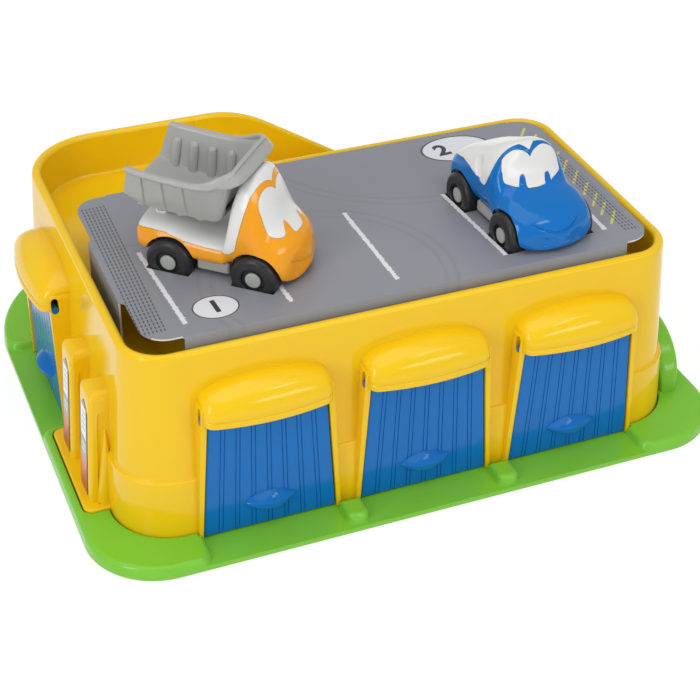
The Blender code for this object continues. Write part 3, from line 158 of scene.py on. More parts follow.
work = bmesh.new()
bmesh.ops.create_grid(work, x_segments=2, y_segments=2, size=6)
floor_mesh = drawn(work, "floor")
floor_mesh.materials.append(floor_paint)
floor = added("floor", floor_mesh)
floor.location.z = -FLOOR_DROP

# Base plate
# One green moulding: a flat plate with raised, rounded kerbs, two small islets between the front
# doors and a tall rounded guard round the foot of the ramp. Its meshes are drawn in millimetres.
SEAT_GAP = 0.3
SIDE_GAP = 0.6
THROUGH = 1.0
CORNER_STEPS = 18
SHARP_FROM = radians(32)


def quarter(steps, first=0):
    """Angles of a quarter turn in equal steps, from the step with this number."""
    return [pi / 2 * step / steps for step in range(first, steps + 1)]


def full_turn(count):
    return [2 * pi * step / count for step in range(count)]


def loft(rings, caps=True):
    """Closed mesh through rings of equal length, with a face across each end."""
    work = bmesh.new()
    rows = [[work.verts.new(point) for point in ring] for ring in rings]
    count = len(rows[0])
    for low, high in zip(rows, rows[1:] if caps else rows[1:] + rows[:1]):
        for i in range(count):
            k = (i + 1) % count
            work.faces.new((low[i], low[k], high[k], high[i]))
    if caps:
        work.faces.new(rows[0][::-1])
        work.faces.new(rows[-1])
    bmesh.ops.recalc_face_normals(work, faces=work.faces)
    bmesh.ops.triangulate(work, faces=work.faces)
    return drawn(work)


def block(low, high, edge=0.0):
    """Box between two corners; edge is the radius of its rounded edges."""
    work = bmesh.new()
    bmesh.ops.create_cube(work, size=1)
    bmesh.ops.scale(work, vec=Vector(high) - Vector(low), verts=work.verts)
    bmesh.ops.translate(work, vec=(Vector(high) + Vector(low)) / 2, verts=work.verts)
    if edge:
        bmesh.ops.bevel(work, geom=work.edges[:], offset=edge, segments=3, affect="EDGES")
    return drawn(work)


def rod(start, end, radius, sides=40):
    """Cylinder between two points."""
    start, end = Vector(start), Vector(end)
    work = bmesh.new()
    bmesh.ops.create_cone(work, cap_ends=True, segments=sides, radius1=radius, radius2=radius,
                          depth=(end - start).length)
    turn = (end - start).to_track_quat("Z", "Y").to_matrix().to_4x4()
    work.transform(Matrix.Translation((start + end) / 2) @ turn)
    return drawn(work)


def plate(outline, thickness, place):
    """Flat outline given a thickness, centred on its plane, then set in place by a matrix."""
    work = bmesh.new()
    ring = [work.verts.new((x, y, -thickness / 2)) for x, y in outline]
    face = work.faces.new(ring)
    grown = bmesh.ops.extrude_face_region(work, geom=[face])
    moved = [item for item in grown["geom"] if isinstance(item, bmesh.types.BMVert)]
    bmesh.ops.translate(work, vec=(0, 0, thickness), verts=moved)
    bmesh.ops.recalc_face_normals(work, faces=work.faces)
    bmesh.ops.triangulate(work, faces=work.faces)
    work.transform(place)
    return drawn(work)


def facing_front(y):
    """Place of a plate whose outline is drawn as (X, Z)."""
    return Matrix.Translation((0, y, 0)) @ Matrix.Rotation(pi / 2, 4, "X")


def facing_side(x):
    """Place of a plate whose outline is drawn as (Y, Z)."""
    return Matrix(((0, 0, 1, x), (1, 0, 0, 0), (0, 1, 0, 0), (0, 0, 0, 1)))


def outline(corners, inset, steps=CORNER_STEPS):
    """Rounded outline through corners (x, y, radius), moved inwards by inset."""
    points = []
    count = len(corners)
    for i, (x, y, radius) in enumerate(corners):
        back = corners[i - 1]
        ahead = corners[(i + 1) % count]
        came = Vector((x - back[0], y - back[1])).normalized()
        goes = Vector((ahead[0] - x, ahead[1] - y)).normalized()
        normal_in = Vector((-came.y, came.x))
        normal_out = Vector((-goes.y, goes.x))
        side = 1 if came.cross(goes) > 0 else -1
        bend = max(radius - side * inset, 0.4)
        spot = Vector((x, y)) + inset * (normal_in + normal_out)
        centre = spot + side * bend * (normal_in + normal_out)
        for t in quarter(steps):
            points.append(centre - side * bend * (normal_in * cos(t) + normal_out * sin(t)))
    return points


def prism(corners, levels, steps=CORNER_STEPS):
    """Solid whose outline is inset by a given amount at each level (z, inset)."""
    return loft([[(p.x, p.y, z) for p in outline(corners, inset, steps)] for z, inset in levels])


def rectangle(left, right, front, back, radii):
    """Corners of a rectangle, counter-clockwise from the front left one, with their radii."""
    front_left, front_right, back_right, back_left = radii
    return [(left, front, front_left), (right, front, front_right),
            (right, back, back_right), (left, back, back_left)]


def arc_levels(z, inset, rise, run, steps):
    """Levels along a rounded edge that starts at (z, inset)."""
    return [(z + rise * sin(t), inset + run * (1 - cos(t))) for t in quarter(steps, 1)]


def shaped(mesh, *steps):
    """The mesh after Boolean steps, each ("UNION", "DIFFERENCE" or "INTERSECT", mesh, place)."""
    made = []
    for index, (operation, tool, *place) in enumerate([(None, mesh), *steps]):
        form = added("shaping_form", tool)
        form.matrix_world = place[0] if place else Matrix()
        made.append(form)
        if index:
            modifier = made[0].modifiers.new("shape", "BOOLEAN")
            modifier.operation = operation
            modifier.solver = "EXACT"
            modifier.object = form
    bpy.context.view_layer.update()
    ready = made[0].evaluated_get(bpy.context.evaluated_depsgraph_get())
    result = bpy.data.meshes.new_from_object(ready)
    for form in made:
        bpy.data.objects.remove(form, do_unlink=True)
    return result


def piece(name, mesh, material, body, replaced=(), place=None, weighted=True):
    """A finished piece from a mesh in millimetres, riding on its body."""
    mesh = mesh.copy()
    if place:
        mesh.transform(place)
    mesh.transform(Matrix.Scale(MM, 4))
    mesh.name = name
    if not isinstance(material, (list, tuple)):
        mesh.materials.clear()
        mesh.materials.append(material)
    made = added(name, mesh)
    mesh.shade_smooth()
    mesh.set_sharp_from_angle(angle=SHARP_FROM)
    if weighted:
        even = made.modifiers.new("even_normals", "WEIGHTED_NORMAL")
        even.keep_sharp = True
        even.weight = 60
    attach(made, body)
    if replaced:
        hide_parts(*replaced)
    return made


def group(name, inputs, outputs):
    """An empty shader node group; inputs are (name, kind, default)."""
    made = bpy.data.node_groups.new(name, "ShaderNodeTree")
    for label, kind, value in inputs:
        socket = made.interface.new_socket(label, in_out="INPUT", socket_type="NodeSocket" + kind)
        socket.default_value = value
    for label, kind in outputs:
        made.interface.new_socket(label, in_out="OUTPUT", socket_type="NodeSocket" + kind)
    return made, made.nodes.new("NodeGroupInput").outputs, made.nodes.new("NodeGroupOutput").inputs


def placed_group(tree, made, **inputs):
    return node(tree, "Group", {"node_tree": made}, **inputs).outputs


# Moulded plastic: slow tint changes, faint flow lines, fine scuffs and a trace of mould texture
moulding, given, gives = group(
    "moulded_surface",
    [("Colour", "Color", (0.8, 0.8, 0.8, 1)), ("Roughness", "Float", 0.25), ("Tint", "Float", 0.05),
     ("Texture", "Float", 1.0)],
    [("Colour", "Color"), ("Roughness", "Float"), ("Height", "Float")])
where = node(moulding, "TexCoord").outputs["Object"]
slow = node(moulding, "TexNoise", Vector=where, Scale=11.0, Detail=2.0).outputs["Fac"]
stretched = node(moulding, "Mapping", Vector=where, Scale=(1, 1, 0.12)).outputs[0]
flow = node(moulding, "TexNoise", Vector=stretched, Scale=85.0, Detail=3.0).outputs["Fac"]
fine = node(moulding, "TexNoise", Vector=where, Scale=1400.0, Detail=2.0).outputs["Fac"]
swirled = node(moulding, "Mapping", Vector=where, Rotation=(0.5, 0.9, 0.3), Scale=(1, 14, 6)).outputs[0]
scuffs = node(moulding, "TexNoise", Vector=swirled, Scale=60.0, Detail=4.0, Roughness=0.7).outputs["Fac"]
scuff_mask = calc(moulding, "MULTIPLY", calc(moulding, "SUBTRACT", scuffs, 0.66), 6.0, clamp=True)
slow_part = calc(moulding, "MULTIPLY", calc(moulding, "SUBTRACT", slow, 0.5), given["Tint"])
flow_part = calc(moulding, "MULTIPLY", calc(moulding, "SUBTRACT", flow, 0.5), 0.03)
value = calc(moulding, "ADD", calc(moulding, "ADD", slow_part, flow_part), 1.0)
tinted = node(moulding, "HueSaturation", Value=value, Color=given["Colour"]).outputs[0]
moulding.links.new(tinted, gives["Colour"])
rough = calc(moulding, "MULTIPLY_ADD", calc(moulding, "SUBTRACT", flow, 0.5), 0.10, given["Roughness"])
rough = calc(moulding, "MULTIPLY_ADD", calc(moulding, "SUBTRACT", fine, 0.5), 0.06, rough)
rough = calc(moulding, "MULTIPLY_ADD", scuff_mask, 0.12, rough, clamp=True)
moulding.links.new(rough, gives["Roughness"])
wave = node(moulding, "TexNoise", Vector=where, Scale=26.0, Detail=1.0).outputs["Fac"]
height = calc(moulding, "MULTIPLY", wave, 0.25)
height = calc(moulding, "MULTIPLY_ADD", fine, calc(moulding, "MULTIPLY", given["Texture"], 0.006), height)
height = calc(moulding, "MULTIPLY_ADD", scuff_mask, -0.004, height)
moulding.links.new(height, gives["Height"])


def plastic(name, colour, roughness=0.2, tint=0.05, texture=1.0, edge=0.35, sheen=0.36):
    """Moulded plastic; edge is the radius in millimetres of its soft arrises."""
    made = bpy.data.materials.new(name)
    made.use_nodes = True
    tree = made.node_tree
    shader = tree.nodes["Principled BSDF"]
    surface = placed_group(tree, moulding, Colour=(*colour, 1), Roughness=roughness, Tint=tint,
                           Texture=texture)
    tree.links.new(surface["Colour"], shader.inputs["Base Color"])
    tree.links.new(surface["Roughness"], shader.inputs["Roughness"])
    soft = node(tree, "Bevel", {"samples": 4}, Radius=edge * MM)
    bump = node(tree, "Bump", Height=surface["Height"], Normal=soft.outputs[0], Strength=0.6,
                Distance=MM)
    tree.links.new(bump.outputs[0], shader.inputs["Normal"])
    shader.inputs["IOR"].default_value = 1.5
    shader.inputs["Specular IOR Level"].default_value = sheen
    return made


GREEN = plastic("green_base", (0.20, 0.56, 0.036), 0.2)

BASE_WIDTH = 376.0
BASE_DEPTH = 319.0
BASE_FRONT_RADIUS = 41.0
BASE_BACK_RADIUS = 86.0
UNDER_EDGE = 0.8
DRIVE_TOP = 3.2
KERB_TOP = 8.0
KERB_ROUND = 3.0
KERB_CLEAR = 0.3
ISLET_WIDTH = 13.0
ISLET_DEPTH = 17.0
GUARD_THICKNESS = 12.0
GUARD_HEIGHT = 40.0
GUARD_NOSE = 40.0
GUARD_LEAD = 11.8
FOOT = DRIVE_TOP + SEAT_GAP
BODY_LEFT = -BASE_WIDTH / 2 + 19.2
BODY_RIGHT = BASE_WIDTH / 2 - 23.7
BODY_FRONT = -BASE_DEPTH / 2 + 22.8
LANDING_BACK = BASE_DEPTH / 2 - 30.6
DECK_BACK = BODY_FRONT + 191.8
LANDING_END = BODY_LEFT + 128.8
DECK_BACK_RADIUS = 31.0
BODY_CORNERS = [
    (BODY_LEFT, BODY_FRONT, 33.0), (BODY_RIGHT, BODY_FRONT, 33.0),
    (BODY_RIGHT, DECK_BACK, DECK_BACK_RADIUS), (LANDING_END, DECK_BACK, 6.0),
    (LANDING_END, LANDING_BACK, 1.0), (BODY_LEFT, LANDING_BACK, 54.0),
]
DOOR_HIGH = 80.0
FLOOR_TOP = DOOR_HIGH + 10
RIM_TOP = FLOOR_TOP + 27
RAMP_SLOPE = 0.65
RAMP_EASE = 40.0
RAMP_LENGTH = (FLOOR_TOP - KERB_TOP - 0.4) / RAMP_SLOPE + RAMP_EASE / 2
RAMP_END = LANDING_END + RAMP_LENGTH
RAMP_ROOT = 14.0

PUMP_PLACES = (-84.5, -45.0)
ISLAND_ROOT = 18.0
ISLAND_TOP = 9.0
island = rectangle(BODY_LEFT - 13.7, BODY_LEFT + ISLAND_ROOT, PUMP_PLACES[0] - 17, PUMP_PLACES[1] + 21,
                   (5.0,) * 4)

DOOR_PITCH = 90.0
DOOR_WIDTH_LOW = 75.0
DOOR_WIDTH_HIGH = 65.0
DOOR_LOW = 4.2
DOOR_FACE = BODY_FRONT - 1.3
SIDE_DOOR_FACE = BODY_LEFT - 3.5
SIDE_DOOR_PLACE = 25.0
BAYS = {
    "front_left": Matrix.Translation((-DOOR_PITCH, DOOR_FACE, 0)),
    "front_middle": Matrix.Translation((0, DOOR_FACE, 0)),
    "front_right": Matrix.Translation((DOOR_PITCH, DOOR_FACE, 0)),
    "side": (Matrix.Translation((SIDE_DOOR_FACE, SIDE_DOOR_PLACE, 0))
             @ Matrix.Rotation(-pi / 2, 4, "Z")),
}
JAMB_PROUD = 1.0
JAMB_HALF_LOW = DOOR_WIDTH_LOW / 2 + 3.0
JAMB_DEPTH = 17.0

BOSS_INSET = 14.0
BOSS_RADIUS = 4.5
BOSS_BORE = 1.5
BOSS_DEPTH = 14
BOSS_PLACES = [
    (-DOOR_PITCH / 2, BODY_FRONT + BOSS_INSET), (DOOR_PITCH / 2, BODY_FRONT + BOSS_INSET),
    (BODY_RIGHT - BOSS_INSET, 0), (BODY_RIGHT - 2 * BOSS_INSET, DECK_BACK - BOSS_INSET),
    (LANDING_END - BOSS_INSET, LANDING_BACK - BOSS_INSET),
    (BODY_LEFT + 2 * BOSS_INSET, LANDING_BACK - 2 * BOSS_INSET),
]
HEAD_RECESS = 0.3
HEAD_RADIUS = 3.0
HEAD_HEIGHT = 1.5
HEAD_CLEAR = 0.3


def door_half(z):
    rise = (z - DOOR_LOW) / (DOOR_HIGH - DOOR_LOW)
    return (DOOR_WIDTH_LOW + (DOOR_WIDTH_HIGH - DOOR_WIDTH_LOW) * rise) / 2


def drive(half, rim, back):
    """Room above a driveway that opens towards -Y; the kerb ends are soft in section and round in plan."""
    ends = [(DRIVE_TOP, 0.6), (DRIVE_TOP + 0.25, 0.15), (DRIVE_TOP + 0.8, -0.1), (6.2, -1.1), (7.0, -1.6),
            (7.6, -2.3), (7.9, -3.2), (KERB_TOP + 0.02, -4.0), (KERB_TOP + THROUGH, -4.2)]
    mouth = half + 11
    corners = [(-mouth, 2 * rim, 0.5), (mouth, 2 * rim, 0.5), (mouth, rim, 0.5), (half, rim, 10.0),
               (half, back, 2.5), (-half, back, 2.5), (-half, rim, 10.0), (-mouth, rim, 0.5)]
    return prism(corners, ends, 12)


def guard_line():
    """Middle line of the guard, with the share of its full height."""
    x = BODY_RIGHT + 3 + GUARD_THICKNESS / 2
    end_y = LANDING_BACK - 4.5
    bend = x - (RAMP_END + GUARD_LEAD)
    nose = BODY_FRONT + 18
    line = []
    for t in quarter(24):
        reach = 1 - cos(t)
        line.append((Vector((x - 5.5 * (1 - reach) ** 2, nose + GUARD_NOSE * reach)), reach))
    line.append((Vector((x, end_y - bend)), 1.0))
    for t in quarter(24, 1):
        line.append((Vector((x - bend * (1 - cos(t)), end_y - bend + bend * sin(t))), 1.0))
    line.append((Vector((RAMP_END + 1, end_y)), 1.0))
    return line


def guard():
    """Guard with a rounded top and a nose that rises from the base."""
    line = guard_line()
    rings = []
    for i, (spot, reach) in enumerate(line):
        before = line[max(i - 1, 0)][0]
        after = line[min(i + 1, len(line) - 1)][0]
        along = (after - before).normalized()
        across = Vector((along.y, -along.x))
        nose_top = KERB_TOP + 2
        top = nose_top + (GUARD_HEIGHT - nose_top) * sqrt(1 - (1 - reach) ** 2)
        half = GUARD_THICKNESS / 2 * (0.55 + 0.45 * sqrt(1 - (1 - min(4 * reach, 1.0)) ** 2))
        edge = min(3.4, 0.45 * (top - KERB_TOP) + 0.5)
        right_side = [(half, KERB_TOP - 2), (half, (KERB_TOP + top - edge) / 2)]
        for t in quarter(8):
            right_side.append((half - edge * (1 - cos(t)), top - edge * (1 - sin(t))))
        section = right_side + [(-s, z) for s, z in right_side[::-1]]
        rings.append([(spot.x + across.x * s, spot.y + across.y * s, z) for s, z in section])
    return loft(rings)


base_corners = rectangle(-BASE_WIDTH / 2, BASE_WIDTH / 2, -BASE_DEPTH / 2, BASE_DEPTH / 2,
                         (BASE_FRONT_RADIUS, BASE_FRONT_RADIUS, BASE_BACK_RADIUS, BASE_BACK_RADIUS))
base_levels = [(0, UNDER_EDGE), (0.3, 0.25), (UNDER_EDGE, 0), (KERB_TOP - KERB_ROUND, 0.5)]
base_levels += arc_levels(KERB_TOP - KERB_ROUND, 0.5, KERB_ROUND, KERB_ROUND, 7)
room_top = KERB_TOP + THROUGH
room_levels = [(DRIVE_TOP, -SIDE_GAP), (room_top - 1.6, -SIDE_GAP), (room_top - 1.1, -SIDE_GAP - 0.25),
               (room_top, -SIDE_GAP - 1.2)]
kerb_end = DOOR_PITCH + door_half(DOOR_LOW) + KERB_CLEAR
side_half = JAMB_HALF_LOW + 2
islet_back = DOOR_FACE - JAMB_PROUD - SIDE_GAP
base_steps = [
    ("DIFFERENCE", prism(BODY_CORNERS, room_levels)),
    ("DIFFERENCE", block((LANDING_END - RAMP_ROOT, DECK_BACK - DECK_BACK_RADIUS, DRIVE_TOP),
                         (RAMP_END + SIDE_GAP, LANDING_BACK + SIDE_GAP, room_top))),
    ("DIFFERENCE", prism(island, room_levels, 8)),
    ("DIFFERENCE", drive(kerb_end, -BASE_DEPTH / 2 - 0.7, BODY_FRONT + 2.5)),
    ("DIFFERENCE", drive(side_half, -BASE_WIDTH / 2 - 0.7, BODY_LEFT + 2.5),
     Matrix.Translation((0, SIDE_DOOR_PLACE, 0)) @ Matrix.Rotation(-pi / 2, 4, "Z")),
]
for bay_place in BAYS.values():
    jamb_room = block((-JAMB_HALF_LOW - SIDE_GAP, -JAMB_PROUD - SIDE_GAP, DRIVE_TOP),
                      (JAMB_HALF_LOW + SIDE_GAP, JAMB_DEPTH, room_top))
    base_steps.append(("DIFFERENCE", jamb_room, bay_place))
islet_levels = [(DRIVE_TOP - THROUGH, -0.7), (DRIVE_TOP + 0.1, -0.5), (DRIVE_TOP + 0.7, -0.1)]
islet_levels += arc_levels(KERB_TOP - 2.2, 0.2, 3.2, 3.0, 8)
for x in (-DOOR_PITCH / 2, DOOR_PITCH / 2):
    islet = rectangle(x - ISLET_WIDTH / 2, x + ISLET_WIDTH / 2, islet_back - ISLET_DEPTH,
                      islet_back - 0.9, (5.5, 5.5, 1.2, 1.2))
    base_steps.append(("UNION", prism(islet, islet_levels, 8)))
base_steps.append(("UNION", guard()))
for x, y in BOSS_PLACES:
    base_steps += [("DIFFERENCE", rod((x, y, -1), (x, y, KERB_TOP), 1.6, 20)),
                   ("DIFFERENCE", rod((x, y, -1), (x, y, HEAD_RECESS + HEAD_HEIGHT + HEAD_CLEAR),
                                      HEAD_RADIUS + HEAD_CLEAR))]
base_mesh = shaped(prism(base_corners, base_levels, 32), *base_steps)
piece("base_moulding", base_mesh, GREEN, "garage", ["base_plate"])

# Garage body
# One yellow moulding: leaning walls over a proud lower band, four hooded doorways, the roof tray with
# its rounded rim, the landing and the ramp with its outer guard, and the fuel pumps on their island.
YELLOW = plastic("yellow_body", (0.88, 0.56, 0.006), 0.15, tint=0.04, edge=0.5)

WALL = 2.5
BAND_TOP = 42.0
BAND_LEAN = 2.0
BAND_STEP = 2.2
BAND_EDGE = 1.5
RIM_RADIUS = 2.7
RIM_FLAT = 0.2
UPPER_LEAN = 5.3
PARAPET_LEAN = 0.4
FLOOR_FILLET = 2.0
RIM_START = RIM_TOP - RIM_RADIUS
RIM_STEPS = 8
RAMP_SINK = 0.06


def lean(z):
    """How far the outer wall stands in from its foot at height z."""
    if z <= BAND_TOP:
        return BAND_LEAN * (z - FOOT) / (BAND_TOP - FOOT)
    ledge = BAND_TOP + BAND_EDGE
    if z < ledge:
        return BAND_LEAN + BAND_STEP * (z - BAND_TOP) / BAND_EDGE
    return BAND_LEAN + BAND_STEP + UPPER_LEAN * (z - ledge) / (RIM_TOP - ledge)


def parapet_inset(z):
    """Inner face of the parapet, from the body's foot outline."""
    slant = (RIM_START - z) / (RIM_START - FLOOR_TOP)
    return lean(RIM_START) + 2 * RIM_RADIUS + RIM_FLAT + PARAPET_LEAN * slant


outer_levels = [(FOOT, lean(FOOT)), (BAND_TOP - 1, lean(BAND_TOP - 1))]
outer_levels += arc_levels(BAND_TOP - 1, lean(BAND_TOP - 1), 1.0, 0.9, 4)
outer_levels += [(BAND_TOP + 0.25, BAND_LEAN + 1.6), (BAND_TOP + 0.7, BAND_LEAN + 2.0),
                 (BAND_TOP + BAND_EDGE, lean(BAND_TOP + BAND_EDGE))]
outer_levels += [(z, lean(z)) for z in (60.0, 80.0, 100.0, RIM_START)]
outer_levels += arc_levels(RIM_START, lean(RIM_START), RIM_RADIUS, RIM_RADIUS, RIM_STEPS)

hollow_levels = [(FLOOR_TOP, parapet_inset(FLOOR_TOP) + FLOOR_FILLET)]
for t in quarter(5, 1):
    hollow_levels.append((FLOOR_TOP + FLOOR_FILLET * (1 - cos(t)),
                          parapet_inset(FLOOR_TOP) + FLOOR_FILLET * (1 - sin(t))))
hollow_levels.append((RIM_START, parapet_inset(RIM_START)))
for t in quarter(RIM_STEPS, 1):
    hollow_levels.append((RIM_START + RIM_RADIUS * sin(t),
                          parapet_inset(RIM_START) - RIM_RADIUS * (1 - cos(t))))
hollow_levels.append((RIM_TOP + 2, parapet_inset(RIM_START) - RIM_RADIUS))
hollow_corners = [list(corner) for corner in BODY_CORNERS]
for corner in hollow_corners[3:5]:
    corner[0] += parapet_inset(FLOOR_TOP) + FLOOR_FILLET + 2

inner_levels = [(z, lean(max(z, FOOT)) + WALL)
                for z in (0.5, BAND_TOP, BAND_TOP + BAND_EDGE, FLOOR_TOP - WALL)]


def ramp_fall(x):
    """How far the ramp lies below the landing at x."""
    run = x - LANDING_END
    if run <= 0:
        return 0.0
    if run < RAMP_EASE:
        return RAMP_SLOPE * run * run / (2 * RAMP_EASE)
    return RAMP_SLOPE * (run - RAMP_EASE / 2)


def ramp_section(x):
    """Ring round the ramp's floor and its outer guard at x."""
    floor_z = FLOOR_TOP - RAMP_SINK - ramp_fall(x)
    rim = RIM_TOP - RAMP_SINK - ramp_fall(x)
    late = max(0.0, (x - (RAMP_END - 22)) / 22)
    rim -= (RIM_TOP - FLOOR_TOP - 14) * late * late
    round_start = rim - RIM_RADIUS

    def outer(z):
        return LANDING_BACK - lean(z) + 0.05

    face = outer(round_start)
    slant = (round_start - floor_z) / (RIM_START - FLOOR_TOP)
    guard_low = face - 2 * RIM_RADIUS - PARAPET_LEAN * slant
    deck_wall = DECK_BACK - lean(floor_z) - 0.4 * WALL
    under = floor_z - WALL * sqrt(1 + RAMP_SLOPE ** 2)
    band_low = min(BAND_TOP, 0.5 * round_start)
    band_high = min(BAND_TOP + BAND_EDGE, 0.55 * round_start)
    ring = [(outer(z), z) for z in (FOOT, band_low, band_high)]
    for step in range(13):
        t = pi * step / 12
        ring.append((face - RIM_RADIUS * (1 - cos(t)), round_start + RIM_RADIUS * sin(t)))
    for t in quarter(4):
        ring.append((guard_low - FLOOR_FILLET * (1 - cos(t)), floor_z + FLOOR_FILLET * (1 - sin(t))))
    ring += [(deck_wall, floor_z), (deck_wall, under), (outer(under) - WALL, under),
             (outer(FOOT) - WALL, FOOT)]
    return [(x, y, z) for y, z in ring]


ramp_rings = [ramp_section(LANDING_END - RAMP_ROOT), ramp_section(LANDING_END)]
for step in range(1, 41):
    ramp_rings.append(ramp_section(LANDING_END + RAMP_LENGTH * step / 40))

JAMB_HALF_HIGH = DOOR_WIDTH_HIGH / 2 + 3.7
HOOD_LOW = DOOR_HIGH - 1
HOOD_LIP = 3.4
HOOD_HIGH = DOOR_HIGH + 19.5
HOOD_SHOULDER = DOOR_HIGH + 12
HOOD_HALF = JAMB_HALF_HIGH - 1.2
HOOD_REACH = 9.0
HOOD_END = 4.6
HOOD_BEND = 4.5
JAMB_TOP = DOOR_HIGH + 9.5
JAMB_ROUND = 3
DOOR_BARREL = 1.9


def hood(grow):
    """Visor over a door: a thin lip, a crease and a swollen crown; grow is negative for its hollow."""
    half = HOOD_HALF + grow
    rings = []
    for step in range(61):
        x = half * sin(pi * (step / 60 - 0.5))
        across = min(abs(x) / half, 1.0)
        turn_in = sqrt(max(1 - max((abs(x) - half + HOOD_BEND) / HOOD_BEND, 0.0) ** 2, 0.0))
        reach = (HOOD_END + (HOOD_REACH - HOOD_END) * (1 - across ** 2)) * turn_in
        front = -JAMB_PROUD - reach - grow
        crown = (1 - across ** 2.2) ** 0.7
        high = HOOD_SHOULDER - 1.5 * (1 - turn_in) + (HOOD_HIGH - HOOD_SHOULDER) * crown + grow
        low = HOOD_LOW if grow >= 0 else HOOD_LOW - 2 * THROUGH
        lip = HOOD_LOW + HOOD_LIP
        wall_y = BODY_FRONT - DOOR_FACE + lean(high) - grow
        back = JAMB_DEPTH - 3 if grow >= 0 else wall_y + THROUGH
        crease = 0.9 * turn_in if grow >= 0 else 0.0
        ring = [(x, back, low), (x, front + 0.7, low), (x, front + 0.2, low + 0.25),
                (x, front, low + 0.8), (x, front + 0.1, lip - 0.7),
                (x, front + 0.5 * crease, lip - 0.2), (x, front + crease, lip + 0.2)]
        for t in quarter(14, 1):
            ring.append((x, wall_y + (front + 0.2 * crease - wall_y) * cos(t) ** 0.8,
                         lip + 0.3 + (high - lip - 0.3) * sin(t) ** 0.94))
        ring.append((x, back, high))
        rings.append(ring)
    return loft(rings)


jamb_outline = [(-JAMB_HALF_LOW, FOOT), (JAMB_HALF_LOW, FOOT)]
for side in (1, -1):
    for step in range(7):
        t = pi / 2 * (step if side > 0 else 6 - step) / 6
        jamb_outline.append((side * (JAMB_HALF_HIGH - JAMB_ROUND * (1 - cos(t))),
                             JAMB_TOP - JAMB_ROUND * (1 - sin(t))))
jamb_form = plate(jamb_outline, JAMB_DEPTH, facing_front(-JAMB_PROUD + JAMB_DEPTH / 2))
way_top = DOOR_HIGH + DOOR_BARREL + SIDE_GAP
way_low = FOOT - 2
way_outline = [(-door_half(way_low) - SIDE_GAP, way_low), (door_half(way_low) + SIDE_GAP, way_low),
               (door_half(way_top) + SIDE_GAP, way_top), (-door_half(way_top) - SIDE_GAP, way_top)]
WAY_FRONT = -JAMB_PROUD - 0.3
WAY_BACK = JAMB_DEPTH + 10
way_form = plate(way_outline, WAY_BACK - WAY_FRONT, facing_front((WAY_BACK + WAY_FRONT) / 2))
SWING_ROOM = 0.25
slot_outline = []
for start, level in ((pi, DOOR_HIGH), (0, DOOR_HIGH + 5.5)):
    for step in range(13):
        t = start + pi * step / 12
        slot_outline.append((DOOR_BARREL + (DOOR_BARREL + SWING_ROOM) * cos(t),
                             level + (DOOR_BARREL + SWING_ROOM) * sin(t)))
slot_form = plate(slot_outline, 2 * (HOOD_HALF + 2), facing_side(0))
# Room behind the hood's lip for a raised flap: the wedge its front face sweeps
FLAP_SWING = radians(60)
swing_back = DOOR_BARREL * (1 - cos(FLAP_SWING)) - SWING_ROOM * cos(FLAP_SWING)
swing_top = DOOR_HIGH + (DOOR_BARREL + SWING_ROOM) * sin(FLAP_SWING)
swing_front = swing_back - (swing_top - HOOD_LOW) * sin(FLAP_SWING) / cos(FLAP_SWING)
swing_outline = [(swing_front, HOOD_LOW - 1), (DOOR_BARREL, HOOD_LOW - 1), (DOOR_BARREL, swing_top),
                 (swing_back, swing_top), (swing_front, HOOD_LOW)]
swing_form = plate(swing_outline, 2 * (door_half(DOOR_HIGH) + SIDE_GAP), facing_side(0))
hood_form = hood(0)
hood_room = hood(-WALL)

PUMP_FACE = BODY_LEFT - 9.6
PUMP_LEAN = 4.5
PUMP_WIDTH = 21.0
PUMP_TOP = 79.0
PUMP_CROWN = 5.0
PUMP_FOOT = ISLAND_TOP - 2
NOZZLE_WIDTH = 10.0
NOZZLE_TOP = 56.0


def pump_lean(z):
    """How far a pump stands in from its foot at height z."""
    return PUMP_LEAN * (z - ISLAND_TOP) / (PUMP_TOP - ISLAND_TOP)


def pump_taper(z):
    return 0.6 * (z - PUMP_FOOT) / (PUMP_TOP - PUMP_CROWN - PUMP_FOOT)


def pump(place):
    """One pump column with a rounded top."""
    corners = rectangle(PUMP_FACE, BODY_LEFT + ISLAND_ROOT, place - PUMP_WIDTH / 2,
                        place + PUMP_WIDTH / 2, (3.2, 1.0, 1.0, 3.2))
    levels = [(PUMP_FOOT, 0), (PUMP_TOP - PUMP_CROWN, 0.6)]
    levels += arc_levels(PUMP_TOP - PUMP_CROWN, 0.6, PUMP_CROWN, PUMP_CROWN, 9)
    return loft([[(p.x + pump_lean(z), p.y, z) for p in outline(corners, inset, 8)]
                 for z, inset in levels])


def pump_panel(place):
    """Shallow recess in the front face of a pump, leaving an upright arris on each side."""
    front = place - PUMP_WIDTH / 2
    rings = []
    for z, rise in ((ISLAND_TOP - 3, 0), (60, 0), (66, 0.6), (70, 2.5)):
        left = PUMP_FACE + 4.6 + pump_lean(z) + rise / 2
        wall_x = BODY_LEFT + lean(z) - 2.0 + 0.3 * rise
        deep = 1.3 - 0.5 * rise
        rings.append([(left, front - 2, z), (wall_x, front - 2, z), (wall_x - 0.6, front + deep, z),
                      (left + 0.6, front + deep, z)])
    return loft(rings)


def nozzle(place):
    """Tapered nozzle standing in a pump's recess, round in front and pointed at the top."""
    front = place - PUMP_WIDTH / 2
    rings = []
    for step in range(13):
        share = step / 12
        z = PUMP_FOOT + (NOZZLE_TOP - PUMP_FOOT) * share
        half = NOZZLE_WIDTH / 2 * (1 - 0.88 * share ** 1.3)
        reach = 3.2 * (1 - share ** 2) + 0.1
        middle = PUMP_FACE + 9.2 + pump_lean(z)
        ring = [(middle - half, front + 4, z)]
        for turn in range(9):
            t = pi * turn / 8
            ring.append((middle - half * cos(t), front + 1.3 - (reach + 1.3) * sin(t) ** 0.8, z))
        ring.append((middle + half, front + 4, z))
        rings.append(ring)
    return loft(rings)


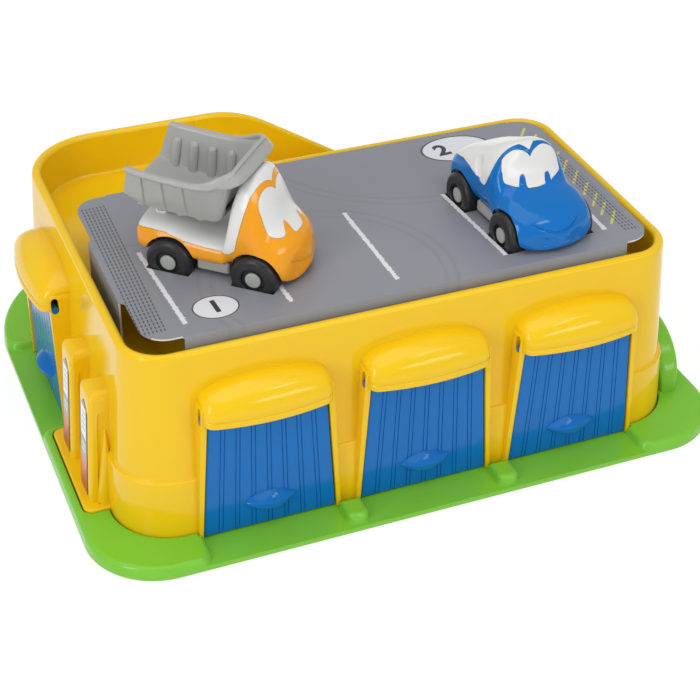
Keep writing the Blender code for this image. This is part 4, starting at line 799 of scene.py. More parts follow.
island_levels = [(FOOT, 0), (ISLAND_TOP - 1.2, 0.1)] + arc_levels(ISLAND_TOP - 1.2, 0.1, 1.2, 1.2, 5)
body_steps = [("UNION", prism(island, island_levels, 8))]
for place in PUMP_PLACES:
    body_steps += [("UNION", pump(place)), ("DIFFERENCE", pump_panel(place)), ("UNION", nozzle(place))]
for bay_place in BAYS.values():
    body_steps += [("UNION", jamb_form, bay_place), ("UNION", hood_form, bay_place)]
body_steps += [("DIFFERENCE", prism(hollow_corners, hollow_levels)),
               ("DIFFERENCE", prism(BODY_CORNERS, inner_levels))]
for bay_place in BAYS.values():
    body_steps += [("DIFFERENCE", hood_room, bay_place), ("DIFFERENCE", way_form, bay_place),
                   ("DIFFERENCE", slot_form, bay_place), ("DIFFERENCE", swing_form, bay_place)]
body_steps.append(("UNION", loft(ramp_rings)))
for x, y in BOSS_PLACES:
    body_steps += [("UNION", rod((x, y, FOOT), (x, y, FLOOR_TOP - WALL / 2), BOSS_RADIUS, 32)),
                   ("DIFFERENCE", rod((x, y, FOOT - 2), (x, y, FOOT + BOSS_DEPTH), BOSS_BORE, 20))]
body_mesh = shaped(prism(BODY_CORNERS, outer_levels), *body_steps)
piece("body_moulding", body_mesh, YELLOW, "garage", ["garage_body"])

# Flap doors
# Four blue planked flaps, each one moulding with a leaf-shaped handle and a hinge barrel whose pins
# turn in upright slots behind the hood.
DOOR_BLUE = plastic("blue_door", (0.002, 0.155, 0.50), 0.13, tint=0.06, edge=0.3, sheen=0.25)
DOOR_THICKNESS = 2.6
PLANKS = 8
GROOVE = 0.6
STRIP = 2.2
GROOVE_DEPTH = 0.42
HANDLE_WIDTH = 30.0
HANDLE_RISE = 5.0
HANDLE_DROP = 6.5
HANDLE_REACH = 6.5
HANDLE_LEVEL = 21.0


def door_panel():
    """Planks parted by narrow raised strips with a groove on each side."""
    rings = []
    for z in (DOOR_LOW, DOOR_LOW + 0.4, DOOR_HIGH - 0.4, DOOR_HIGH):
        half = door_half(z)
        edge = 0.4 if z in (DOOR_LOW, DOOR_HIGH) else 0.0
        ring = [(-half, DOOR_THICKNESS, z), (-half, edge + 0.4, z), (-half + 0.4, edge, z)]
        for seam in range(1, PLANKS):
            middle = half * (2 * seam / PLANKS - 1)
            for side in (-1, 1):
                spot = middle + side * STRIP / 2
                ring += [(spot - GROOVE / 2, edge, z), (spot - GROOVE / 6, GROOVE_DEPTH, z),
                         (spot + GROOVE / 6, GROOVE_DEPTH, z), (spot + GROOVE / 2, edge, z)]
        ring += [(half - 0.4, edge, z), (half, edge + 0.4, z), (half, DOOR_THICKNESS, z)]
        rings.append(ring)
    return loft(rings)


def handle_form():
    """Lens-shaped grip: a top face that slopes up to the door behind a round rim and belly."""
    rings = []
    for step in range(41):
        x = HANDLE_WIDTH / 2 * sin(pi / 2 * (step / 20 - 1)) * 0.9995
        swell = max(1 - (2 * x / HANDLE_WIDTH) ** 2, 0.0)
        reach = HANDLE_REACH * swell ** 0.75
        top = HANDLE_LEVEL + HANDLE_RISE * swell
        rim = HANDLE_LEVEL + 0.5 * swell
        ring = [(x, 1.3, top + 0.2), (x, -0.1, top),
                (x, 0.2 - 0.5 * reach, (top + rim) / 2 + 0.5 * swell),
                (x, 0.3 - 0.85 * reach, rim + 0.9 * swell)]
        for t in quarter(9):
            ring.append((x, 0.5 - reach * cos(t) ** 0.8, rim - (HANDLE_DROP + 0.5) * swell * sin(t)))
        ring.append((x, 1.3, rim - (HANDLE_DROP + 0.5) * swell - 0.1))
        rings.append(ring)
    return loft(rings)


pin_half = door_half(DOOR_HIGH) + SIDE_GAP + 3.2
barrel = rod((-pin_half, DOOR_BARREL, DOOR_HIGH), (pin_half, DOOR_BARREL, DOOR_HIGH), DOOR_BARREL)
door_mesh = shaped(door_panel(), ("UNION", handle_form()), ("UNION", barrel))
for bay, bay_place in BAYS.items():
    body = "side_door" if bay == "side" else bay + "_door"
    piece("flap_" + bay, door_mesh, DOOR_BLUE, body, ["door_" + bay], bay_place)

# Base screws
# Six small pan-head screws of bright steel come up through the base into the body's bosses. Each
# head has a stamped cross recess.
STEEL = plastic("bright_screw", (0.58, 0.57, 0.55), 0.3, edge=0.15)
STEEL.node_tree.nodes["Principled BSDF"].inputs["Metallic"].default_value = 1.0
CROSS_LONG = 1.7
CROSS_WIDE = 0.35
CROSS_DEPTH = 0.8
head_top = HEAD_RECESS + HEAD_HEIGHT
for number, (x, y) in enumerate(BOSS_PLACES, 1):
    rings = []
    for z, radius in ((HEAD_RECESS, 2.1), (HEAD_RECESS + 0.12, 2.55), (HEAD_RECESS + 0.4, 2.88),
                      (HEAD_RECESS + 0.8, HEAD_RADIUS), (head_top, HEAD_RADIUS), (head_top + 0.01, 1.3),
                      (HEAD_RECESS + 11, 1.3), (HEAD_RECESS + 12, 0.5)):
        rings.append([(x + radius * cos(t), y + radius * sin(t), z) for t in full_turn(40)])
    cross = [("DIFFERENCE", block((x - reach_x, y - reach_y, -1),
                                  (x + reach_x, y + reach_y, HEAD_RECESS + CROSS_DEPTH)))
             for reach_x, reach_y in ((CROSS_LONG, CROSS_WIDE), (CROSS_WIDE, CROSS_LONG))]
    screw = shaped(loft(rings), *cross)
    piece(f"screw_{number}", screw, STEEL, "garage", [f"base_screw_{number}"])

# Pump labels
# A self-adhesive printed label on the outer face of each pump: a dark outline with a gabled top, a
# white panel with green bars, a grey band and a red foot.
LABEL_WIDTH = PUMP_WIDTH - 7.5
LABEL_LOW = ISLAND_TOP + 3
LABEL_HIGH = PUMP_TOP - 8


def paper_material(name, roughness):
    """Printed paper or board, with its node tree and its shader."""
    made = bpy.data.materials.new(name)
    made.use_nodes = True
    shader = made.node_tree.nodes["Principled BSDF"]
    shader.inputs["Roughness"].default_value = roughness
    return made, made.node_tree, shader


def mixed_colour(tree, share, first, second):
    made = node(tree, "Mix", {"data_type": "RGBA"})
    for index, value in ((0, share), (6, first), (7, second)):
        feed(tree, made.inputs[index], value)
    return made.outputs[2]


def between(tree, value, low, high):
    """1 where the value lies between two limits."""
    above = calc(tree, "GREATER_THAN", value, low)
    below = calc(tree, "LESS_THAN", value, high)
    return calc(tree, "MULTIPLY", above, below)


LABEL, tree, shader = paper_material("label_print", 0.3)
where = node(tree, "TexCoord").outputs["Object"]
parts = node(tree, "SeparateXYZ", Vector=where).outputs
up_mm = calc(tree, "MULTIPLY", parts["Z"], 1000.0)
# distance from the middle of the nearer pump
far_side = calc(tree, "GREATER_THAN", parts["Y"], (PUMP_PLACES[0] + PUMP_PLACES[1]) / 2 * MM)
middle = calc(tree, "MULTIPLY_ADD", far_side, PUMP_PLACES[1] - PUMP_PLACES[0], PUMP_PLACES[0])
side_mm = calc(tree, "SUBTRACT", calc(tree, "MULTIPLY", parts["Y"], 1000.0), middle)
off_middle = calc(tree, "ABSOLUTE", side_mm)
speckle = node(tree, "TexNoise", Vector=where, Scale=2500.0, Detail=1.0).outputs["Fac"]
fade = node(tree, "MapRange", Value=up_mm, From_Min=LABEL_LOW, From_Max=34.0).outputs[0]
foot_colour = mixed_colour(tree, fade, (0.62, 0.06, 0.012, 1), (0.80, 0.30, 0.22, 1))
triangle = calc(tree, "LESS_THAN", calc(tree, "MULTIPLY_ADD", side_mm, 1.5, up_mm), 22.0)
foot_colour = mixed_colour(tree, calc(tree, "MULTIPLY", triangle, 0.45), foot_colour, (0.33, 0.02, 0.01, 1))
colour = mixed_colour(tree, between(tree, up_mm, 34.0, 45.0), foot_colour, (0.42, 0.43, 0.44, 1))
bars = calc(tree, "GREATER_THAN", calc(tree, "FRACT", calc(tree, "MULTIPLY", up_mm, 0.28)), 0.5)
band_bars = calc(tree, "MULTIPLY", calc(tree, "MULTIPLY", bars, between(tree, up_mm, 36.0, 43.0)),
                 calc(tree, "LESS_THAN", off_middle, 3.4))
colour = mixed_colour(tree, band_bars, colour, (0.75, 0.76, 0.76, 1))
panel = calc(tree, "MULTIPLY", between(tree, up_mm, 47.0, 67.0), calc(tree, "LESS_THAN", off_middle, 5.0))
colour = mixed_colour(tree, between(tree, up_mm, 45.0, 80.0), colour, (0.30, 0.31, 0.32, 1))
colour = mixed_colour(tree, panel, colour, (0.88, 0.90, 0.88, 1))
lines = calc(tree, "MULTIPLY", calc(tree, "MULTIPLY", bars, between(tree, up_mm, 50.0, 64.0)),
             between(tree, side_mm, -3.2, 2.4))
colour = mixed_colour(tree, calc(tree, "MULTIPLY", lines, 0.7), colour, (0.22, 0.55, 0.25, 1))
edge = calc(tree, "GREATER_THAN", off_middle, LABEL_WIDTH / 2 - 1.0)
colour = mixed_colour(tree, edge, colour, (0.10, 0.10, 0.11, 1))
speckled = node(tree, "HueSaturation", Color=colour,
                Value=calc(tree, "MULTIPLY_ADD", speckle, 0.08, 0.96)).outputs[0]
tree.links.new(speckled, shader.inputs["Base Color"])

for number, place in enumerate(PUMP_PLACES, 1):
    half = LABEL_WIDTH / 2
    sheet = [(-half, LABEL_LOW), (half, LABEL_LOW), (half, LABEL_HIGH - 6), (0.8, LABEL_HIGH),
             (-0.8, LABEL_HIGH), (-half, LABEL_HIGH - 6)]
    rings = []
    for out in (SEAT_GAP / 3, SEAT_GAP / 3 + 0.25):
        rings.append([(PUMP_FACE + pump_lean(z) + pump_taper(z) - out, place + s, z) for s, z in sheet])
    piece(f"label_{number}", loft(rings), LABEL, "garage", [f"pump_label_{number}"], weighted=False)

# Display card
# A die-cut printed card folded into a low lid: it stands in the roof tray, its corner tabs left
# open, with slots for the wheels of both vehicles. The cut edges show the white board.
CARD_PROUD = 5.9
CARD_TOP = RIM_TOP + CARD_PROUD
CARD_THICKNESS = 1.0
CARD_RADIUS = 14.0
deck_inset = parapet_inset(FLOOR_TOP)
card_left = BODY_LEFT + deck_inset + 7.8
card_right = BODY_RIGHT - deck_inset - 5.7
card_front = BODY_FRONT + deck_inset + SEAT_GAP
card_back = DECK_BACK - deck_inset - 9.6
card_foot = FLOOR_TOP + SEAT_GAP

WHEEL_RADIUS = 13.0
WHEEL_INNER = 15.5
WHEEL_OUTER = 26.5
WHEELBASE = 48.5
HUB_HEIGHT = 4.7


def vehicle_place(x, y, heading):
    return Matrix.Translation((x, y, CARD_TOP)) @ Matrix.Rotation(heading, 4, "Z")


TRUCK = vehicle_place(card_left + 63.7, card_front + 65.1, radians(-42))
CAR = vehicle_place(card_right - 60.1, card_front + 50.8, radians(-85.9))

# One printed stroke: a bar with ragged ends and edges
stroke, given, gives = group(
    "printed_stroke",
    [("Place", "Vector", (0, 0, 0)), ("Middle", "Vector", (0, 0, 0)), ("Turn", "Float", 0.0),
     ("Half length", "Float", 10.0), ("Half width", "Float", 1.0), ("Ragged", "Float", 0.3)],
    [("Mask", "Float")])
moved = node(stroke, "VectorMath", {"operation": "SUBTRACT"})
stroke.links.new(given["Place"], moved.inputs[0])
stroke.links.new(given["Middle"], moved.inputs[1])
turned_place = node(stroke, "VectorRotate", {"rotation_type": "Z_AXIS"}, Vector=moved.outputs[0],
                    Angle=calc(stroke, "MULTIPLY", given["Turn"], -1.0)).outputs[0]
axes = node(stroke, "SeparateXYZ", Vector=turned_place).outputs
rag = node(stroke, "TexNoise", Vector=given["Place"], Scale=0.9, Detail=3.0).outputs["Fac"]
rag = calc(stroke, "MULTIPLY", calc(stroke, "SUBTRACT", rag, 0.5), given["Ragged"])
long_room = calc(stroke, "SUBTRACT", given["Half length"], calc(stroke, "ABSOLUTE", axes["X"]))
wide_room = calc(stroke, "SUBTRACT", given["Half width"], calc(stroke, "ABSOLUTE", axes["Y"]))
room = calc(stroke, "ADD", calc(stroke, "MINIMUM", long_room, wide_room), rag)
stroke.links.new(calc(stroke, "MULTIPLY_ADD", room, 6.0, 0.5, clamp=True), gives["Mask"])

PRINT, tree, shader = paper_material("card_print", 0.34)
where = node(tree, "TexCoord").outputs["Object"]
on_card = node(tree, "VectorMath", {"operation": "SCALE"}, Vector=where)
on_card.inputs["Scale"].default_value = 1000.0
on_card = on_card.outputs[0]
axes = node(tree, "SeparateXYZ", Vector=on_card).outputs
clouds = node(tree, "TexNoise", Vector=where, Scale=14.0, Detail=3.0).outputs["Fac"]
dots = node(tree, "TexNoise", Vector=where, Scale=2200.0, Detail=1.0).outputs["Fac"]
fibre = node(tree, "TexNoise", Vector=where, Scale=420.0, Detail=4.0).outputs["Fac"]
colour = mixed_colour(tree, clouds, (0.228, 0.236, 0.270, 1), (0.276, 0.284, 0.316, 1))


def oval_reach(x, y, half_x=1.0, half_y=1.0):
    """Distance from the middle of an oval on the card, which is 1 at its edge."""
    gap_x = calc(tree, "DIVIDE", calc(tree, "SUBTRACT", axes["X"], x), half_x)
    gap_y = calc(tree, "DIVIDE", calc(tree, "SUBTRACT", axes["Y"], y), half_y)
    return calc(tree, "SQRT", calc(tree, "ADD", calc(tree, "MULTIPLY", gap_x, gap_x),
                                   calc(tree, "MULTIPLY", gap_y, gap_y)))


def ring_mask(middle, radius, half_width):
    """Soft band along a circle on the card."""
    off = calc(tree, "ABSOLUTE", calc(tree, "SUBTRACT", oval_reach(*middle), radius))
    return calc(tree, "MULTIPLY", calc(tree, "SUBTRACT", half_width, off), 1.0, clamp=True)


skids = (((-40.0, -95.0), 62.0, 1.6), ((-40.0, -95.0), 68.5, 1.6), ((60.0, 60.0), 98.0, 1.5),
         ((60.0, 60.0), 104.0, 1.5), ((-120.0, 60.0), 88.0, 1.4))
for middle, radius, half_width in skids:
    trace = calc(tree, "MULTIPLY", ring_mask(middle, radius, half_width), 0.22)
    colour = mixed_colour(tree, trace, colour, (0.17, 0.175, 0.20, 1))


def printed(colour, start, end, half_width, ink, ragged=0.5, strength=1.0):
    """The card's colour with a straight printed stroke on it."""
    gap = Vector(end) - Vector(start)
    middle = (Vector(end) + Vector(start)) / 2
    mask = placed_group(tree, stroke, Place=on_card, Middle=(*middle, CARD_TOP),
                        Turn=atan2(gap.y, gap.x), Half_length=gap.length / 2, Half_width=half_width,
                        Ragged=ragged)["Mask"]
    return mixed_colour(tree, calc(tree, "MULTIPLY", mask, strength), colour, (*ink, 1))


CHALK = (0.78, 0.78, 0.80)
for start, end in (((-127, -36), (-123.3, -110)), ((-68.6, -36), (-66.4, -110)),
                   ((-8.2, -36), (-7.0, -110)), ((52.3, -37), (57.2, -108.5)),
                   ((121, -36), (120.2, -104.5))):
    colour = printed(colour, start, end, 1.3, CHALK, 2.6, 0.92)
for x, y in ((128.2, 12.8), (131.3, 3.3), (133.6, -10), (133.9, -21), (133.6, -32), (133, -46),
             (132.3, -60), (131, -73), (130.6, -83.5), (131, -94)):
    colour = printed(colour, (x - 4.6, y - 6.2), (x + 4.6, y + 6.2), 0.75, (0.66, 0.62, 0.12), 0.8, 0.85)

# rows of short dashes at both ends
DASH_INK = (0.05, 0.052, 0.06, 1)
DASH_ROW = 2.1
DASH_STEP = 3.4
for left, right, slant, low, high in ((-145.0, -130.5, -0.022, -113.0, 19.0),
                                      (129.2, 137.8, 0.012, -109.5, 6.0)):
    across = calc(tree, "MULTIPLY_ADD", axes["Y"], slant, axes["X"])
    row_place = calc(tree, "MULTIPLY", calc(tree, "SUBTRACT", across, left), 1 / DASH_ROW)
    rows = calc(tree, "LESS_THAN", calc(tree, "FRACT", row_place), 0.36)
    step_place = calc(tree, "MULTIPLY", axes["Y"], 1 / DASH_STEP)
    steps = calc(tree, "LESS_THAN", calc(tree, "FRACT", step_place), 0.68)
    spread = calc(tree, "MULTIPLY", between(tree, across, left, right), between(tree, axes["Y"], low, high))
    dashes = calc(tree, "MULTIPLY", calc(tree, "MULTIPLY", rows, steps), spread)
    colour = mixed_colour(tree, calc(tree, "MULTIPLY", dashes, 0.95), colour, DASH_INK)

# two numbered ovals: pale discs with a dark outline
OVALS = ((-104.4, -100.6, 12.6, 10.6), (82.6, 10.6, 22.5, 15.0))
for x, y, half_x, half_y in OVALS:
    reach = oval_reach(x, y, half_x, half_y)
    outer_disc = calc(tree, "MULTIPLY", calc(tree, "SUBTRACT", 1.0, reach), 40.0, clamp=True)
    inner_disc = calc(tree, "MULTIPLY", calc(tree, "SUBTRACT", 0.94, reach), 40.0, clamp=True)
    colour = mixed_colour(tree, outer_disc, colour, DASH_INK)
    colour = mixed_colour(tree, inner_disc, colour, (0.74, 0.75, 0.80, 1))
inked = node(tree, "HueSaturation", Color=colour,
             Value=calc(tree, "MULTIPLY_ADD", dots, 0.10, 0.95)).outputs[0]
tree.links.new(inked, shader.inputs["Base Color"])
bump = node(tree, "Bump", Height=fibre, Strength=0.12, Distance=0.1 * MM)
tree.links.new(bump.outputs[0], shader.inputs["Normal"])

BOARD, tree, shader = paper_material("cut_board", 0.7)
where = node(tree, "TexCoord").outputs["Object"]
layers = node(tree, "TexNoise", Vector=node(tree, "Mapping", Vector=where, Scale=(1, 1, 8)).outputs[0],
              Scale=900.0, Detail=3.0).outputs["Fac"]
tree.links.new(mixed_colour(tree, layers, (0.62, 0.58, 0.52, 1), (0.80, 0.78, 0.74, 1)),
               shader.inputs["Base Color"])

# The flat top sheet: narrow corner tabs, and folds that bulge a little between the notches
TAB_INSET = 1.2
LEFT_FOLD = card_left - 4.0
LEFT_TAB = card_left - 1.4
NOTCHES = {"side": (card_front + 40, card_back - 44), "end": (card_left + 17.5, card_right - 17.5)}


near, far = NOTCHES["side"]
west, east = NOTCHES["end"]


def card_outline():
    """The top sheet's edge, counter-clockwise."""
    left, right = LEFT_TAB, card_right - TAB_INSET
    front, back = card_front + TAB_INSET, card_back - TAB_INSET
    points = []

    def corner(x, y, start):
        for t in quarter(12):
            points.append((x + CARD_RADIUS * cos(start + t), y + CARD_RADIUS * sin(start + t)))

    corner(left + CARD_RADIUS, front + CARD_RADIUS, pi)
    points.extend([(west, front), (west + 1, card_front), (east - 1, card_front), (east, front)])
    corner(right - CARD_RADIUS, front + CARD_RADIUS, -pi / 2)
    points.extend([(right, near), (card_right, near + 3), (card_right, far - 3), (right, far)])
    corner(right - CARD_RADIUS, back - CARD_RADIUS, 0)
    points.extend([(east, back), (east - 1, card_back), (west + 1, card_back), (west, back)])
    corner(left + CARD_RADIUS, back - CARD_RADIUS, pi / 2)
    points.extend([(left, far), (LEFT_FOLD, far - 3), (LEFT_FOLD, near + 3), (left, near)])
    return points


top_sheet = plate(card_outline(), CARD_THICKNESS, Matrix.Translation((0, 0, CARD_TOP - CARD_THICKNESS / 2)))
fold_high = CARD_TOP - CARD_THICKNESS / 2
front_foot = card_foot + FLOOR_FILLET
card_steps = [
    ("UNION", block((LEFT_FOLD, near + 3, front_foot), (LEFT_FOLD + CARD_THICKNESS, far - 3, fold_high))),
    ("UNION", block((card_right - CARD_THICKNESS, near + 3, card_foot), (card_right, far - 3, fold_high))),
    ("UNION", block((west + 1, card_front, front_foot), (east - 1, card_front + CARD_THICKNESS, fold_high))),
    ("UNION", block((west + 1, card_back - CARD_THICKNESS, card_foot), (east - 1, card_back, fold_high))),
]
slot_half = sqrt(WHEEL_RADIUS ** 2 - HUB_HEIGHT ** 2) + SEAT_GAP
for place in (TRUCK, CAR):
    for along in (-WHEELBASE / 2, WHEELBASE / 2):
        for side in (-1, 1):
            near_side, far_side = sorted((side * (WHEEL_INNER - 0.8), side * (WHEEL_OUTER + 0.8)))
            slot = block((along - slot_half, near_side, -HUB_HEIGHT),
                         (along + slot_half, far_side, HUB_HEIGHT))
            card_steps.append(("DIFFERENCE", slot, place))
card_mesh = shaped(top_sheet, *card_steps)
card_mesh.materials.clear()
card_mesh.materials.append(PRINT)
card_mesh.materials.append(BOARD)
for face in card_mesh.polygons:
    spot = face.center
    on_top = face.normal.z > 0.9 and spot.z > CARD_TOP - 0.2
    outside = (spot.z < fold_high + 0.4 and abs(face.normal.z) < 0.2
               and (spot.x * face.normal.x > 100 or spot.y < card_front + 0.5 or spot.y > card_back - 0.5))
    face.material_index = 0 if on_top or outside else 1
piece("printed_lid", card_mesh, [PRINT, BOARD], "card", ["display_card"], weighted=False)

INK = plastic("dark_ink", (0.045, 0.047, 0.055), 0.35, edge=0.02)
for label, (x, y, half_x, half_y), size, aside in (("1", OVALS[0], 15, 0), ("2", OVALS[1], 17, -9)):
    text = bpy.data.curves.new("bay_number", "FONT")
    text.body = label
    text.size = size
    text.extrude = 0.02
    text.offset = 0.6
    text.align_x = "CENTER"
    text.align_y = "CENTER"
    holder = added("bay_number", text)
    bpy.context.view_layer.update()
    ready = holder.evaluated_get(bpy.context.evaluated_depsgraph_get())
    number_mesh = bpy.data.meshes.new_from_object(ready)
    bpy.data.objects.remove(holder, do_unlink=True)
    piece("bay_number_" + label, number_mesh, INK, "card", (),
          Matrix.Translation((x + aside, y, CARD_TOP + 0.02)) @ Matrix.Rotation(radians(3), 4, "Z"),
          weighted=False)

# Vehicle bodies
# Each vehicle is a coloured shell over a white inner moulding that shows as roof, back and
# windscreen, clipped on a grey chassis with sills between the wheels.
SHELL_WALL = 1.8
SHELL_GAP = 0.12
INSERT_WALL = 2.2
ARCH_RADIUS = WHEEL_RADIUS + 1.6
ARCH_INNER = WHEEL_INNER - 1.3
CHASSIS_HALF = ARCH_INNER - 0.8
SILL_HALF = 21.4
CHASSIS_LOW = HUB_HEIGHT - 3.5
CHASSIS_HIGH = HUB_HEIGHT + 4.8
FORM_POINTS = 72
FORM_POWER = 0.55
REACH = 60.0
AXLE_RADIUS = 2.0
FRONT_SWELL = 3.0
SWELL_START = 10
SWELL_RUN = 20
SMILE_RADIUS = 0.6

ORANGE = plastic("orange_shell", (0.88, 0.345, 0.008), 0.12, edge=0.4)
CAR_BLUE = plastic("blue_shell", (0.001, 0.152, 0.50), 0.1, edge=0.4, sheen=0.3)
WHITE = plastic("white_inner", (0.77, 0.77, 0.745), 0.16, tint=0.02, edge=0.4)
GREY = plastic("grey_plastic", (0.385, 0.39, 0.365), 0.22, edge=0.35)

TRUCK_STATIONS = [
    (-44.5, 19.5, 8.5, 21.5, 18.5), (-42.5, 22, 6.5, 24.5, 21), (-34, 24.2, 6, 25.5, 22),
    (-24, 24.5, 6, 24.5, 22), (-14, 23.8, 6, 21.5, 22), (0, 23.5, 6, 20, 21.5), (6, 23.5, 6, 20.5, 21),
    (10, 23.5, 6, 46, 18.5), (14, 23.5, 5.5, 56, 17), (19, 23.8, 5, 57, 16.5), (24, 24.2, 4, 50, 16.5),
    (30, 24.5, 3, 34, 18), (35, 24, 2.2, 28.5, 18.5), (39.5, 22, 1.8, 24, 17), (42.3, 18, 2.5, 19, 14),
    (43.5, 12, 5, 14, 9),
]
CAR_STATIONS = [
    (-43.5, 14, 9, 20, 11), (-41.5, 20, 6.5, 24.5, 17), (-35, 23.5, 5.5, 29, 19),
    (-25, 24.2, 5.5, 34, 18.5), (-15, 23.8, 5.5, 39, 17.5), (-5, 23.5, 5.5, 44, 16.5),
    (2, 23.5, 5.5, 46, 16), (6, 23.8, 5, 44, 16.5), (10, 24, 4.5, 35, 18.5), (15, 24.8, 4, 27, 20.5),
    (24, 26.2, 3, 24, 23.5), (31, 26, 2, 21.5, 23), (36.5, 24.3, 1.8, 18.3, 21), (40.3, 21, 1.8, 15, 17.5),
    (42.6, 15.5, 2.5, 12, 13), (43.5, 9.5, 4, 9.5, 8),
]


def eased(stations, spots):
    """Stations at new places along the body, on monotone cubic curves through the given ones."""
    xs = [row[0] for row in stations]
    columns = []
    for channel in range(1, len(stations[0])):
        ys = [row[channel] for row in stations]
        rise = [(ys[i + 1] - ys[i]) / (xs[i + 1] - xs[i]) for i in range(len(xs) - 1)]
        slopes = [rise[0]]
        for a, b in zip(rise, rise[1:]):
            slopes.append(2 * a * b / (a + b) if a * b > 0 else 0.0)
        slopes.append(rise[-1])
        values = []
        for spot in spots:
            i = max(k for k in range(len(xs) - 1) if xs[k] <= spot + 1e-9)
            span = xs[i + 1] - xs[i]
            t = (spot - xs[i]) / span
            values.append((2 * t ** 3 - 3 * t ** 2 + 1) * ys[i] + (t ** 3 - 2 * t ** 2 + t) * span * slopes[i]
                          + (3 * t ** 2 - 2 * t ** 3) * ys[i + 1] + (t ** 3 - t ** 2) * span * slopes[i + 1])
        columns.append(values)
    return list(zip(spots, *columns))


def form(stations, inset=0.0):
    """Body form along a vehicle: stations are (along, half width, low, high, half width at the top)."""
    first, last = stations[0][0], stations[-1][0]
    middle = (first + last) / 2
    shrink = 1 - 2 * inset / (last - first)
    spots = [middle - (last - first) / 2 * cos(pi * step / 64) for step in range(65)]
    rings = []
    for along, half, low, high, top_half in eased(stations, spots):
        swell = FRONT_SWELL * min(max((along - SWELL_START) / SWELL_RUN, 0.0), 1.0)
        ring = []
        for k in range(FORM_POINTS):
            t = 2 * pi * (k + 0.5) / FORM_POINTS
            rise = abs(sin(t)) ** FORM_POWER * (1 if sin(t) > 0 else -1)
            out = abs(cos(t)) ** FORM_POWER * (1 if cos(t) > 0 else -1)
            z = (low + high) / 2 + ((high - low) / 2 - inset) * rise
            width = half + (top_half - half) * max(0.0, rise) - inset
            ring.append((middle + (along - middle) * shrink + swell * (1 - out * out), out * width, z))
        rings.append(ring)
    for ring, sign in ((rings[0], -1), (rings[-1], 1)):
        centre = [sum(point[axis] for point in ring) / len(ring) for axis in range(3)]
        tip = sign * max(sign * point[0] for point in ring)
        domed = []
        for step in (1, 2, 3, 4):
            t = pi / 2 * step / 4.3
            domed.append([(point[0] + (tip - point[0]) * (1 - cos(t)) + sign * 0.6 * sin(t),
                           centre[1] + (point[1] - centre[1]) * cos(t),
                           centre[2] + (point[2] - centre[2]) * cos(t)) for point in ring])
        rings = domed[::-1] + rings if sign < 0 else rings + domed
    return loft(rings)


def rounded_path(points, radii):
    """Polygon with its corners rounded."""
    path = []
    count = len(points)
    for i, spot in enumerate(points):
        spot = Vector(spot)
        before = Vector(points[i - 1])
        after = Vector(points[(i + 1) % count])
        cut = min(radii[i], 0.45 * (before - spot).length, 0.45 * (after - spot).length)
        start = spot + (before - spot).normalized() * cut
        end = spot + (after - spot).normalized() * cut
        for step in range(7):
            t = step / 6
            path.append(tuple((1 - t) ** 2 * start + 2 * t * (1 - t) * spot + t * t * end))
    return path


def arches():
    """Room for the wheels."""
    made = []
    for along in (-WHEELBASE / 2, WHEELBASE / 2):
        for side in (-1, 1):
            made.append(("DIFFERENCE", rod((along, side * ARCH_INNER, HUB_HEIGHT),
                                           (along, side * REACH, HUB_HEIGHT), ARCH_RADIUS, 72)))
    return made


def pane_space(path, taper, low, high, behind, grow=0.0):
    """Prism through the windscreen opening; the outline narrows upwards and may be grown a little."""
    tapered = []
    for x, z in path:
        narrow = 1 - taper * (z - low) / (high - low)
        tapered.append((x * narrow, z))
    if grow:
        moved = []
        count = len(tapered)
        for i, spot in enumerate(tapered):
            ahead = Vector(tapered[(i + 1) % count]) - Vector(tapered[i - 1])
            if ahead.length < 1e-6:
                continue
            normal = Vector((ahead.y, -ahead.x)).normalized()
            moved.append(tuple(Vector(spot) + normal * grow))
        tapered = moved
    return plate(tapered, REACH, facing_side(behind + REACH / 2))


def lobes(middle, half, spring, rise):
    """Two overlapping arches, from the left of the vehicle to the right."""
    cut = acos(-middle / half)
    left = [cut * step / 14 for step in range(15)]
    points = [(middle + half * cos(t), spring + rise * sin(t) ** 0.75) for t in left]
    return points + [(-side, z) for side, z in points[-2::-1]]


def white_room(opening, brow, arch, glass, frame_start, pull):
    """Where the white moulding shows: a side outline and the roof, less a frame round the windscreen."""
    taper, low, high = glass[1:4]
    pulled = [(a - 1.2 * pull, z + 1.2 * pull) for a, z in opening]
    half, start, end, foot, frame_width = brow
    roof = block((start, -half + pull, foot + pull), (end - pull, half - pull, REACH + 10))
    middle, wide, spring, rise = arch
    reach = wide + frame_width + pull
    frame_path = [(-middle - reach, low - 20), (middle + reach, low - 20)]
    frame_path += lobes(middle, reach, spring, rise + frame_width + pull)
    grown = pane_space(frame_path, taper, low, high, frame_start - pull)
    side_view = plate(pulled, 2 * REACH, facing_front(0))
    return shaped(side_view, ("UNION", roof), ("DIFFERENCE", grown))


